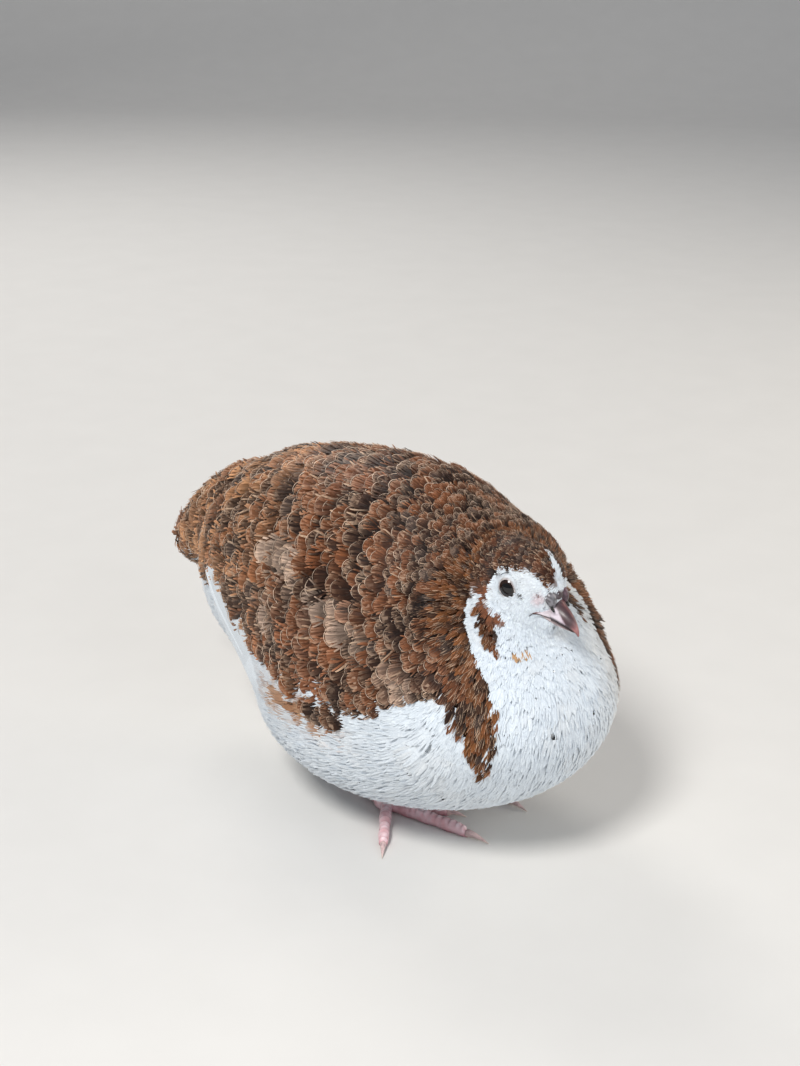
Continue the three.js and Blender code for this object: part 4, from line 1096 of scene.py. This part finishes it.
# Rings of the bare rim round an eye: how far from the eye's axis, and how far over the ball.
LID_RIM = [
    (2.68, -0.3), (2.67, 0.05), (2.74, 0.15), (2.88, 0.2), (3.04, 0.17), (3.2, 0.12), (3.45, 0.1),
    (3.75, 0.1), (4.05, 0.1), (4.24, -0.1), (3.6, -2.2),
]
LID_POINTS = 96
LID_BEADS = 26
LID_NARROW = 0.22
LID_LEAN = math.radians(24)
LID_EDGE = (0.03, 0.022, 0.02)
LID_GREYS = ((0.40, 0.36, 0.36), (0.68, 0.65, 0.64))


def lid(side, word):
    """The bare rim of skin round an eye: an upright oval that leans back, with beads along its edge."""
    centre, axis, _, _, round_axis = eye_ring(side, LID_POINTS)
    turn = np.linspace(0, 2 * np.pi, LID_POINTS, endpoint=False)
    rings = []
    for k, (radius, over) in enumerate(LID_RIM):
        bead = 0.06 * np.cos(turn * LID_BEADS) * (1 <= k <= 4)
        narrow = LID_NARROW * (1 - smooth(radius, 3.2, 4.2))
        r = radius * (1 - narrow * np.sin(turn + side * LID_LEAN) ** 2)
        lift = np.sqrt(EYE_RADIUS**2 - r**2) + over + bead
        rings.append(centre + axis * lift[:, None] + round_axis * r[:, None])
    rings.append(rings[0])
    verts, tris = outward_mesh(*ring_mesh(rings, closed_ends=False))
    ring_index = np.arange(len(verts)) // LID_POINTS
    tint = mixc(*LID_GREYS, smooth(wobble(verts, 0.7, 81), -0.6, 0.8))
    tint = mixc(tint, LID_EDGE, ring_index <= 1)
    tint = mixc(tint, WHITE * 0.95, smooth(ring_index, 4.2, 5.6))
    return add_mesh(f"lid_{word}", verts, tris, tint)


# The bill: an arched upper half over a flat lower one, along the mouth's line. Each station has y, the
# mouth's height, the depth and half the width.
UPPER_STATIONS = [
    (-5, -6.2, 5.9, 4.0), (-8, -5.7, 6.1, 4.2), (-9.8, -5.5, 5.7, 4.2), (-11.5, -5.6, 4.7, 3.7),
    (-13.6, -5.85, 3.8, 3.0), (-15.8, -6.15, 3.15, 2.35), (-17.8, -6.55, 2.4, 1.7),
    (-19.3, -7.05, 1.55, 1.1), (-20.3, -7.7, 0.85, 0.62), (-20.85, -8.4, 0.38, 0.3),
]
LOWER_STATIONS = [
    (-5, -7.6, 2.4, 3.5), (-8, -6.4, 2.4, 3.6), (-10.5, -5.95, 2.3, 3.3), (-13, -6.2, 2.05, 2.7),
    (-15.3, -6.55, 1.7, 2.0), (-17.2, -6.9, 1.2, 1.35), (-18.5, -7.25, 0.75, 0.85), (-19.2, -7.5, 0.4, 0.45),
]
BILL_RINGS = 40
HORN = (0.095, 0.055, 0.060)
HORN_RUDDY = (0.18, 0.055, 0.058)
HORN_DARK = (0.060, 0.045, 0.052)
HORN_TIP = (0.46, 0.20, 0.19)
HORN_GREY = (0.33, 0.31, 0.33)
BILL_SIDES = ((0.74, 0.66, 0.72), (0.56, 0.44, 0.50))
BILL_PALE = (0.62, 0.50, 0.50)
BILL_PALE_TIP = (0.42, 0.25, 0.24)
BILL_GAP = (0.035, 0.02, 0.02)
# Along the bill, how high its pale side reaches over the mouth.
PALE_SIDE = ((9, 12.8, 15.5, 17.6), (4.4, 3.0, 1.3, 0.0))


def resampled(stations, count):
    """A smooth curve through the stations."""
    table = np.array(stations, float)
    s = np.linspace(0, len(table) - 1, count)
    i = np.clip(s.astype(int), 0, len(table) - 2)
    f = (s - i)[:, None]
    p0, p1 = table[np.maximum(i - 1, 0)], table[i]
    p2, p3 = table[i + 1], table[np.minimum(i + 2, len(table) - 1)]
    bend = 2 * p0 - 5 * p1 + 4 * p2 - p3
    return 0.5 * (2 * p1 + (p2 - p0) * f + bend * f**2 + (3 * p1 - p0 - 3 * p2 + p3) * f**3)


def upper_tint(verts, rise):
    x, y, _ = verts.T
    horn = mixc(HORN, HORN_RUDDY, smooth(x, -0.6, 0.9))
    horn = mixc(horn, HORN_DARK, smooth(wobble(verts, 1.5, 91), 0.1, 0.9) * 0.5)
    horn = mixc(horn, HORN_TIP, smooth(-y, 17.8, 20.2) * 0.85)
    edge = smooth(rise - np.interp(-y, *PALE_SIDE), 0.2, -0.25)
    tint = mixc(horn, mixc(*BILL_SIDES, smooth(-y, 14, 17)), edge)
    tint = mixc(tint, HORN_GREY, smooth(-y, 12.2, 10.6) * (1 - edge) * 0.75)
    return mixc(tint, BILL_GAP, smooth(rise, 0.28, 0.05) * 0.9)


def lower_tint(verts, rise):
    tint = mixc(BILL_PALE, BILL_PALE_TIP, smooth(-verts[:, 1], 12, 19))
    return mixc(tint, BILL_GAP, smooth(rise, 0.9, 0.35) * 0.9)


def bill_half(name, stations, sign, roundness, lean, tint_of):
    """Half a bill, up or down from the mouth's line by its sign."""
    turn = np.linspace(0, np.pi, 25)
    flat = np.linspace(1, -1, 13)[1:-1]
    rings = []
    for y, mouth, depth, half in resampled(stations, BILL_RINGS):
        arch = np.sin(turn) ** roundness
        x = np.cos(turn) * half * (1 - 0.10 * lean * arch) + 0.12 * lean * half * arch
        edge_z = mouth + sign * 0.25 * (1 - flat**2) * depth * 0.3 + 0 * flat
        z = np.concatenate([mouth + sign * depth * arch, edge_z])
        rings.append(np.stack([np.concatenate([x, -flat * half]), np.full(len(z), y), z], -1))
    verts, tris = outward_mesh(*ring_mesh(rings))
    mouth = np.interp(-verts[:, 1], [-r[0] for r in stations], [r[1] for r in stations])
    return add_mesh(name, from_head(verts), tris, tint_of(verts, sign * (verts[:, 2] - mouth)))


def globe(turns, polars, margin):
    """Rings of points on a round ball, from pole to pole: across, along the axis and up."""
    c, s = circle(turns)
    polar = np.linspace(margin, np.pi - margin, polars)[:, None]
    return np.stack([np.sin(polar) * c, np.cos(polar) + 0 * c, np.sin(polar) * s], -1)


def lump(name, side, at, radii, pitch, tint_of, bend=0.0):
    """A small smooth swelling on the head, given in the head's axes."""
    rings = globe(28, 18, 0.05) * np.array(radii)
    rings[..., 2] += bend * (rings[..., 1] / radii[1]) ** 2
    rings = pitched(rings, pitch) + np.array(at)
    rings[..., 0] *= side
    verts, tris = outward_mesh(*ring_mesh(rings))
    return add_mesh(name, from_head(verts), tris, tint_of(verts))


# The flap over the nostril is grey on the right and darker on the left.
FLAP_GREY = {RIGHT: np.array([0.26, 0.25, 0.27]), LEFT: np.array([0.13, 0.07, 0.09])}
SADDLE = ((0.075, 0.05, 0.055), (0.16, 0.15, 0.17))
# Near-black: the nostril's opening, painted as the shade inside it.
NOSTRIL_SHADE = 0.008


def flap_tint(side):
    grey = FLAP_GREY[side]
    return lambda v: mixc(grey, grey * 0.3, smooth(wobble(v * np.array([1, 0.4, 1]), 0.6, 95), -0.3, 0.8))


eye_balls = {side: eyeball(side, word) for side, word in SIDES}
lids = {side: lid(side, word) for side, word in SIDES}
upper_bill = bill_half("bill_upper_horn", UPPER_STATIONS, 1, 0.85, 1, upper_tint)
lower_bill = bill_half("bill_lower_horn", LOWER_STATIONS, -1, 0.7, 0, lower_tint)
flaps, nostrils = [], []
for side, word in SIDES:
    flaps.append(lump(f"nostril_flap_{word}", side, (2.7, -10.4, -0.2), (1.7, 2.7, 1.7), 50,
                      flap_tint(side), -0.3))
    # Each nostril is a near-black lump: painted shade.
    nostrils.append(lump(f"nostril_{word}", side, (3.25, -12.0, -2.5), (0.6, 1.4, 0.32), 30,
                         lambda v: np.full(v.shape, NOSTRIL_SHADE), -0.2))
flaps.append(lump("bill_saddle", RIGHT, (0, -9.9, 0.9), (2.5, 2.3, 1.5), 42,
                  lambda v: mixc(*SADDLE, smooth(v[:, 0], -0.5, -2.2))))


# The bare corner of the mouth, from the gape to the bill's pale side: y, and its low and high edge.
MOUTH_CORNER = [
    (-8.0, -5.9, -5.8), (-8.6, -5.0, -4.7), (-9.4, -4.9, -4.3), (-10.3, -5.1, -4.2), (-11.3, -5.6, -3.6),
    (-12.2, -6.0, -3.1),
]
MOUTH_SIDES = ((0.74, 0.66, 0.70), (0.17, 0.06, 0.055))
MOUTH_LINE_DARK = (0.03, 0.016, 0.016)
CHEEK_START = 11.0
BILL_HALF = 2.6


def on_face(side, y, z, height):
    """Places on the face at these y and z in the head's axes, which stand this high over the body."""
    start = from_head(np.stack([np.full(len(y), side * CHEEK_START), y, z], -1))
    return moved_in(start, side, height, 0.6, BILL_HALF)


def mouth_corner(side, word):
    """A thin closed skin between the mouth's line and the feathers' edge."""
    table = np.array(MOUTH_CORNER)
    s = np.linspace(0, 1, 26)
    y, low, high = (np.interp(s, np.linspace(0, 1, len(table)), table[:, k]) for k in range(3))
    sheet, under = [], []
    for t in np.linspace(-0.35, 1.1, 13):
        swell = 0.16 + 0.22 * math.exp(-(((t - 0.25) / 0.35) ** 2)) - 0.28 * math.exp(-((t / 0.1) ** 2))
        sheet.append(on_face(side, y, low + (high - low) * t, -0.1 + swell))
        under.append(on_face(side, y, low + (high - low) * t, -0.8))
    verts, tris = outward_mesh(*ring_mesh(np.transpose(sheet + under[::-1], (1, 0, 2))))
    q = head_axes(verts)
    off = q[:, 2] - np.interp(q[:, 1], table[::-1, 0], table[::-1, 1])
    tint = mixc(*MOUTH_SIDES, smooth(-q[:, 1], 10.0, 9.0))
    tint = mixc(tint, BILL_PALE, smooth(off, -0.1, -0.4) * smooth(-q[:, 1], 9, 10))
    tint = mixc(tint, MOUTH_LINE_DARK, smooth(np.abs(off), 0.34, 0.16))
    return add_mesh(f"mouth_{word}", verts, tris, tint)


mouths = [mouth_corner(side, word) for side, word in SIDES]

# The feet: each shank lies back along the floor to its hock, and the toes lie flat. Each foot has its
# own place, its hock's and the turn of each toe; each toe has a length, claw length, half width and plates.
FEET = [
    (RIGHT, (-12.5, -4.5), (-9, 25), {1: -125, 2: -34, 3: -11, 4: 47}),
    (LEFT, (17, 1.5), (13, 30), {1: -125, 2: -22, 3: 2, 4: 47}),
]
TOES = [(1, 8.0, 3.8, 1.5, 4), (2, 20.0, 5.5, 1.9, 9), (3, 30.5, 7.5, 2.15, 13), (4, 25.0, 6.0, 1.95, 11)]
LIMB_SIDES = 22
SCUTE_STEPS = 7
SCUTE_RISE = 0.6
SHANK_SCUTES = 12
FOOT_BALL = (4.1, 4.5, 3.2)
BALL_HEIGHT = 2.75


def limb(start, end, scutes, size_of, arch, seed):
    """A toe or shank with a row of plates over its top, each one standing over the next."""
    rng = np.random.default_rng(seed)
    way = unit(end - start)
    across = np.array([-way[1], way[0], 0])
    turn = np.linspace(0, 2 * np.pi, LIMB_SIDES, endpoint=False)
    top, below = np.clip(np.sin(turn), 0, 1), np.clip(-np.sin(turn), 0, 1)
    steps = scutes * SCUTE_STEPS
    edges = np.cumsum(np.append(0, 1 + rng.normal(0, 0.08, scutes)))
    edges = edges / edges[-1]
    rings, plate = [], []
    for k in range(steps + 1):
        t = k / steps
        n = min(int(np.searchsorted(edges, t, side="right")) - 1, scutes - 1)
        part = (t - edges[n]) / (edges[n + 1] - edges[n])
        half = size_of(t)
        step_shape = (0.25 + 0.75 * smooth(part, 0, 0.16)) * (1 - 0.75 * part**2.5)
        side_scale = 0.16 * np.abs(np.sin(turn * 3 + part * math.pi))
        rise = SCUTE_RISE * (top**0.6 * step_shape + side_scale * (top < 0.05) * 0.5)
        lift = half * 0.86 + arch * math.sin(t * math.pi)
        pad = 0.16 * half * below * math.cos(t * math.pi * 8)
        ring = start + (end - start) * t + across * (np.cos(turn) * (half + rise * 0.5))[:, None]
        ring[:, 2] = np.maximum(lift + np.sin(turn) * (half * 1.02 + rise + pad), 0.05)
        rings.append(ring)
        # How far each ring lies on a plate's top, where the painted highlight goes.
        plate.append(step_shape * top)
    verts, tris = outward_mesh(*ring_mesh(rings))
    return verts, tris, np.append(np.array(plate).ravel(), [0, 0])


def toe_size(half):
    def size_of(t):
        pads = 0.14 * math.cos(t * math.pi * 5)
        return (half + pads) * mix(1.06, 0.74, t) * (1 - 0.55 * smooth(t, 0.94, 1.0))
    return size_of


def shank_size(t):
    return 2.1 + 0.6 * (1 - smooth(t, 0, 0.25)) + 0.9 * smooth(t, 0.7, 1) - 1.4 * smooth(t, 0.97, 1.0)


def claw(start, way, length, half, height):
    c, s = circle(16)
    across = np.array([-way[1], way[0], 0])
    rings = []
    for t in np.linspace(0, 1, 14):
        size = mix(half, 0.10, t**1.2)
        drop = height * (1.08 + 0.25 * math.sin(t * math.pi)) * (1 - 0.86 * t**1.9)
        ring = start + way * (length * t) + across * (c * size * 0.82)[:, None]
        ring[:, 2] = np.maximum(drop + s * size, 0.03)
        rings.append(ring)
    return outward_mesh(*ring_mesh(rings))


# The feet's flesh, with a painted shade near the floor and a painted highlight on the plates' tops.
FLESH = (0.74, 0.49, 0.53)
FLESH_FLOOR_SHADE = (0.56, 0.30, 0.34)
SCUTE_HIGHLIGHT = (0.90, 0.77, 0.80)
CLAW_ROOT = (0.80, 0.58, 0.56)
CLAW_TIP = (0.76, 0.62, 0.55)
foot_parts, claw_parts = [], []
for side, foot_place, hock_place, turns in FEET:
    foot, hock = np.array([*foot_place, 0.0]), np.array([*hock_place, 0.0])
    foot_parts.append(limb(foot, hock, SHANK_SCUTES, shank_size, 0.5, 101 + side))
    for digit, length, claw_length, half, scutes in TOES:
        turn = math.radians(turns[digit])
        way = np.array([side * math.sin(turn), -math.cos(turn), 0])
        end = foot + way * length
        foot_parts.append(limb(foot + way * 1.0, end, scutes, toe_size(half), 0.15, 110 + digit + side))
        claw_parts.append(claw(end - way * 0.5, way, claw_length + 0.6, half * 0.60, half * 0.58))
    ball = globe(24, 16, 0.06)[..., [0, 2, 1]] * np.array(FOOT_BALL) + np.array([*foot_place, BALL_HEIGHT])
    ball[..., 2] = np.maximum(ball[..., 2] + 0.12 * wobble(ball, 1.3, 121), 0.05)
    verts, tris = outward_mesh(*ring_mesh(ball))
    # The foot's ball takes the same painted highlight colour in random patches.
    foot_parts.append((verts, tris, 0.35 + 0.3 * wobble(verts, 1.0, 122)))


def merged(parts):
    verts, faces, extra, total = [], [], [], 0
    for part in parts:
        verts.append(part[0])
        faces.append(part[1] + total)
        extra.append(part[2] if len(part) > 2 else np.zeros(len(part[0])))
        total += len(part[0])
    return np.concatenate(verts), np.concatenate(faces), np.concatenate(extra)


verts, tris, plates = merged(foot_parts)
# Darker towards the floor: painted shade under the toes, shanks and balls.
tint = mixc(FLESH_FLOOR_SHADE, FLESH, smooth(verts[:, 2], 0.2, 2.2))
# Paler on the plates' tops: a painted highlight.
tint = mixc(tint, SCUTE_HIGHLIGHT, np.clip(plates, 0, 1) ** 2 * 0.75)
feet_skin = add_mesh("feet_skin", verts, tris, tint * (1 + 0.06 * wobble(verts, 1.2, 131))[:, None])
verts, tris, _ = merged(claw_parts)
claws = add_mesh("claws", verts, tris, mixc(CLAW_ROOT, CLAW_TIP, smooth(verts[:, 2], 1.3, 0.2)))


# Materials. Each reads the tint that the forms carry, and adds the fine structure. The scales of its
# noise are per metre, and the depths of its bumps in metres.
class Look:
    """The nodes of one material."""

    def __init__(self, name, roughness, **sockets):
        self.material = bpy.data.materials.new(name)
        self.material.use_nodes = True
        self.nodes, self.links = self.material.node_tree.nodes, self.material.node_tree.links
        self.shader = self.nodes["Principled BSDF"]
        self.shader.inputs["Roughness"].default_value = roughness
        for label, value in sockets.items():
            self.shader.inputs[label.replace("_", " ")].default_value = value

    def feed(self, socket, value):
        """A constant is set on the socket itself, and an output is linked to it."""
        if isinstance(value, (int, float, tuple)):
            socket.default_value = value
        else:
            self.links.new(value, socket)

    def attribute(self, name, output):
        node = self.nodes.new("ShaderNodeAttribute")
        node.attribute_name = name
        return node.outputs[output]

    def places(self):
        return self.nodes.new("ShaderNodeTexCoord").outputs["Object"]

    def math(self, operation, a, b=None, clamp=False):
        node = self.nodes.new("ShaderNodeMath")
        node.operation = operation
        node.use_clamp = clamp
        self.feed(node.inputs[0], a)
        if b is not None:
            self.feed(node.inputs[1], b)
        return node.outputs[0]

    def plus(self, a, b):
        return self.math("ADD", a, b)

    def minus(self, a, b):
        return self.math("SUBTRACT", a, b)

    def times(self, a, b, clamp=False):
        return self.math("MULTIPLY", a, b, clamp)

    def noise(self, scale, detail=3.0, stretch=None):
        node = self.nodes.new("ShaderNodeTexNoise")
        node.inputs["Scale"].default_value = scale
        node.inputs["Detail"].default_value = detail
        where = self.places()
        if stretch:
            mapping = self.nodes.new("ShaderNodeMapping")
            mapping.inputs["Scale"].default_value = stretch
            self.feed(mapping.inputs["Vector"], where)
            where = mapping.outputs["Vector"]
        self.feed(node.inputs["Vector"], where)
        return node.outputs["Fac"]

    def between(self, value, low, high):
        """A soft rise from 0 to 1 between two values."""
        node = self.nodes.new("ShaderNodeMapRange")
        node.interpolation_type = "SMOOTHSTEP"
        node.inputs["From Min"].default_value = low
        node.inputs["From Max"].default_value = high
        self.feed(node.inputs["Value"], value)
        return node.outputs["Result"]

    def mixed(self, share, a, b, mode="MIX"):
        node = self.nodes.new("ShaderNodeMix")
        node.data_type = "RGBA"
        node.blend_type = mode
        self.feed(node.inputs["Factor"], share)
        for slot, value in (("A", a), ("B", b)):
            self.feed([s for s in node.inputs if s.name == slot and s.type == "RGBA"][0], value)
        return [s for s in node.outputs if s.type == "RGBA"][0]

    def shaded(self, colour, shade, value, low, high):
        """The colour, times a shade where the value is under low."""
        dark = self.mixed(1.0, colour, (*shade, 1), "MULTIPLY")
        return self.mixed(self.between(value, low, high), dark, colour)

    def bump(self, height, strength, distance):
        node = self.nodes.new("ShaderNodeBump")
        node.inputs["Strength"].default_value = strength
        node.inputs["Distance"].default_value = distance
        self.feed(node.inputs["Height"], height)
        self.feed(self.shader.inputs["Normal"], node.outputs["Normal"])

    def plume(self):
        """How far along a feather a place lies, and how far off its shaft."""
        uv = self.nodes.new("ShaderNodeUVMap")
        uv.uv_map = "Plume"
        split = self.nodes.new("ShaderNodeSeparateXYZ")
        self.feed(split.inputs["Vector"], uv.outputs["UV"])
        return split.outputs["Y"], self.math("ABSOLUTE", self.minus(split.outputs["X"], 0.5))

    def barbs(self, along, off, slant, grain, ragged, count):
        """Waves that slant off the shaft."""
        phase = self.plus(self.minus(along, self.times(off, slant)), self.times(grain, ragged))
        return self.math("SINE", self.times(phase, count))


SHAFT_COLOUR = (0.42, 0.26, 0.16, 1)
FRINGE_COLOUR = (0.62, 0.43, 0.30, 1)


def vane_look(look, colour):
    """Barbs that slant off a pale shaft, and a thin pale fringe round the tip."""
    along, off = look.plume()
    grain, blotch = look.noise(900.0), look.noise(420.0)
    fringe = look.attribute("Fringe", "Fac")
    shift = look.times(look.minus(grain, 0.5), 0.12)
    side_edge = look.between(look.plus(off, shift), 0.465, 0.492)
    side_edge = look.times(side_edge, look.between(along, 0.6, 0.85))
    tip_edge = look.between(look.plus(along, shift), 0.955, 0.99)
    edge = look.times(look.math("MAXIMUM", side_edge, tip_edge), fringe, clamp=True)
    edge = look.times(edge, look.between(blotch, 0.38, 0.55))
    shaft = look.times(look.minus(1.0, look.between(off, 0.012, 0.03)), fringe)
    barb = look.math("MULTIPLY_ADD", look.barbs(along, off, 1.1, grain, 0.06, 170.0), 0.5)
    colour = look.shaded(colour, (0.62, 0.58, 0.56), barb, -0.3, 0.5)
    colour = look.mixed(look.times(shaft, 0.35), colour, SHAFT_COLOUR)
    look.bump(barb, 0.25, 0.0002)
    return look.mixed(look.times(edge, 0.85), colour, FRINGE_COLOUR)


def strand_look(look, colour):
    """Fine soft barbs, with hardly any difference in tone."""
    along, off = look.plume()
    grain = look.noise(1500.0)
    barb = look.barbs(along, off, 1.6, grain, 0.08, 150.0)
    dark = look.mixed(1.0, colour, (0.88, 0.89, 0.91, 1), "MULTIPLY")
    colour = look.mixed(look.between(barb, -0.9, 0.6), dark, colour)
    return look.mixed(look.between(grain, 0.3, 0.55), dark, colour)


def skin_look(look, colour):
    """A fine uneven grain."""
    grain = look.noise(700.0, 5.0)
    look.bump(grain, 0.3, 0.0004)
    return look.shaded(colour, (0.78, 0.76, 0.75), grain, 0.35, 0.65)


def horn_look(look, colour):
    """Faint lengthwise growth marks."""
    grain = look.noise(900.0, 4.0, stretch=(1.0, 0.35, 1.0))
    look.bump(grain, 0.12, 0.0002)
    return look.shaded(colour, (0.72, 0.70, 0.72), grain, 0.35, 0.65)


def foot_look(look, colour):
    """Small scales, with redder blotches."""
    cells = look.nodes.new("ShaderNodeTexVoronoi")
    cells.inputs["Scale"].default_value = 1100.0
    look.feed(cells.inputs["Vector"], look.places())
    look.bump(cells.outputs["Distance"], 0.18, 0.0002)
    red = look.mixed(1.0, colour, (0.92, 0.74, 0.74, 1), "MULTIPLY")
    return look.mixed(look.between(look.noise(350.0), 0.4, 0.7), colour, red)


def eye_look(look, colour):
    """The iris's fine flecks."""
    return look.shaded(colour, (0.6, 0.6, 0.6), look.noise(2600.0, 2.0), 0.4, 0.6)


def finish(name, roughness, pattern, **sockets):
    look = Look(name, roughness, **sockets)
    look.feed(look.shader.inputs["Base Color"], pattern(look, look.attribute("Tint", "Color")))
    return look.material


vane_finish = finish("brown_vanes", 0.5, vane_look, Specular_IOR_Level=0.2)
white_finish = finish("soft_strands", 0.8, strand_look, Sheen_Weight=0.15, Sheen_Roughness=0.5)
face_finish = finish("face_feathers", 0.75, strand_look, Sheen_Weight=0.15)
collar_finish = finish("collar_strands", 0.5, vane_look, Specular_IOR_Level=0.2)
skin_finish = finish("feathered_skin", 0.85, skin_look)
upper_finish = finish("bill_horn_finish", 0.34, horn_look, Coat_Weight=0.15, Coat_Roughness=0.2)
lower_finish = finish("bill_pale_finish", 0.36, horn_look)
eye_finish = finish("eye_finish", 0.04, eye_look, Coat_Weight=0.4, Coat_Roughness=0.02,
                    Specular_IOR_Level=0.4)
lid_finish = finish("lid_skin", 0.55, skin_look)
foot_finish = finish("foot_skin_finish", 0.24, foot_look, Subsurface_Weight=0.12,
                     Subsurface_Radius=(0.003, 0.001, 0.001), Subsurface_Scale=0.5)
claw_finish = finish("claw_finish", 0.3, horn_look, Coat_Weight=0.3)


def dress(obj, material, slot, *nodes_replaced):
    """Gives a piece its finish and the body that it rides on, and hides the nodes that it stands for. The
    slot is not used.
    """
    obj.data.materials.append(material)
    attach(obj, "root")
    if nodes_replaced:
        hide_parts(*nodes_replaced)


# The skin carries the plumage's colours, except where it is bare.
SKIN_SHADE = 0.93
skin_outer = skin_verts + gradient(skin_field, skin_verts) * coat_depth(skin_verts)[:, None]
skin_tint = markings(skin_outer) * SKIN_SHADE
skin = add_mesh("skin", skin_verts, skin_faces, skin_tint, {"OFBake": bake_place(skin_verts)})
dress(skin, skin_finish, "body_plumage", "torso", "neck", "head", "leg_right", "leg_left")

COATS = [
    *((f"coat_{part}_{word}", white_finish, "body_plumage")
      for part in ("breast", "belly") for _, word in SIDES),
    ("coat_shins", white_finish, "body_plumage"),
    ("coat_collar", collar_finish, "collar_plumage"),
    ("coat_face", face_finish, "face_plumage"),
    ("coat_crown", vane_finish, "face_plumage"),
    *((f"coat_{part}_{word}", vane_finish, "wing_plumage")
      for part in ("back", "rump") for _, word in SIDES),
    *((f"wing_{word}_plumes", vane_finish, "wing_plumage", f"wing_{word}") for _, word in SIDES),
    ("tail_plumes", vane_finish, "wing_plumage", "tail"),
]
for name, *worn in COATS:
    dress(pieces[name].build(name), *worn)

for side, word in SIDES:
    dress(eye_balls[side], eye_finish, "eye", f"eye_{word}")
    dress(lids[side], lid_finish, "face_plumage")
dress(upper_bill, upper_finish, "bill_horn", "bill_upper")
dress(lower_bill, lower_finish, "bill_pale", "bill_lower")
for mouth in mouths:
    dress(mouth, lower_finish, "bill_pale")
for horny in flaps + nostrils:
    dress(horny, upper_finish, "bill_horn")
toes = [f"toe_{word}_{digit}" for _, word in SIDES for digit, *_ in TOES]
dress(feet_skin, foot_finish, "foot_skin", "tarsus_right", "tarsus_left", *toes)
dress(claws, claw_finish, "claw", *(toe.replace("toe", "claw") for toe in toes))

# The studio: a pale floor that curves up into a backdrop, and soft lights. All in metres.
FLOOR_NEAR, FLOOR_FAR, FLOOR_HALF = -1.2, 1.3, 3.0
BACKDROP_HEIGHT, BACKDROP_CURVE = 1.6, 0.5
PAPER = ((0.70, 0.69, 0.67, 1), (0.74, 0.73, 0.71, 1))
# Each light has a name, a place, a size, a power and a colour.
LIGHTS = [
    ("key_light", (-0.75, -0.25, 0.95), 0.35, 11.3, (1.0, 0.98, 0.95)),
    ("front_fill", (-0.1, -1.0, 0.45), 0.8, 2.6, (0.90, 0.95, 1.0)),
    ("warm_side", (0.75, -0.35, 0.35), 0.6, 2.2, (1.0, 0.90, 0.76)),
    ("back_light", (0.35, 0.85, 0.75), 0.5, 4.0, (1.0, 0.97, 0.93)),
]
LIGHT_AIM = np.array([0, 0, 0.055])
SKY_COLOUR = (0.88, 0.92, 1.0, 1)
SKY_STRENGTH = 0.29


def studio_floor():
    r = BACKDROP_CURVE
    arc = [(FLOOR_FAR + r * math.sin(a), r - r * math.cos(a)) for a in np.linspace(0, math.pi / 2, 24)]
    line = [(FLOOR_NEAR, 0.0)] + arc + [(FLOOR_FAR + r, BACKDROP_HEIGHT)]
    verts = np.array([(x, d, h) for d, h in line for x in (-FLOOR_HALF, FLOOR_HALF)])
    turn = math.radians(CAMERA_TURN[2])
    c, s = math.cos(turn), math.sin(turn)
    verts = np.stack([verts[:, 0] * c - verts[:, 1] * s, verts[:, 0] * s + verts[:, 1] * c, verts[:, 2]], -1)
    faces = np.array([(2 * i, 2 * i + 1, 2 * i + 3, 2 * i + 2) for i in range(len(line) - 1)])
    obj = add_mesh("studio_floor", verts / MM - np.array([0, SHIFT, 0]), faces)
    look = Look("studio_paper", 0.9)
    look.feed(look.shader.inputs["Base Color"], look.mixed(look.noise(40.0), *PAPER))
    obj.data.materials.append(look.material)


def area_light(name, place, size, power, colour):
    light = bpy.data.lights.new(name, "AREA")
    light.shape = "DISK"
    light.size = size
    light.energy = power
    light.color = colour
    obj = bpy.data.objects.new(name, light)
    obj.location = place
    x, y, z = LIGHT_AIM - np.array(place)
    obj.rotation_euler = (math.atan2(z, math.hypot(x, y)) + math.pi / 2, 0, math.atan2(y, x) - math.pi / 2)
    bpy.context.scene.collection.objects.link(obj)


studio_floor()
for light in LIGHTS:
    area_light(*light)
world = bpy.data.worlds.new("studio_air")
bpy.context.scene.world = world
world.use_nodes = True
sky = world.node_tree.nodes["Background"]
sky.inputs["Color"].default_value = SKY_COLOUR
sky.inputs["Strength"].default_value = SKY_STRENGTH
bpy.context.scene.view_settings.view_transform = "Standard"
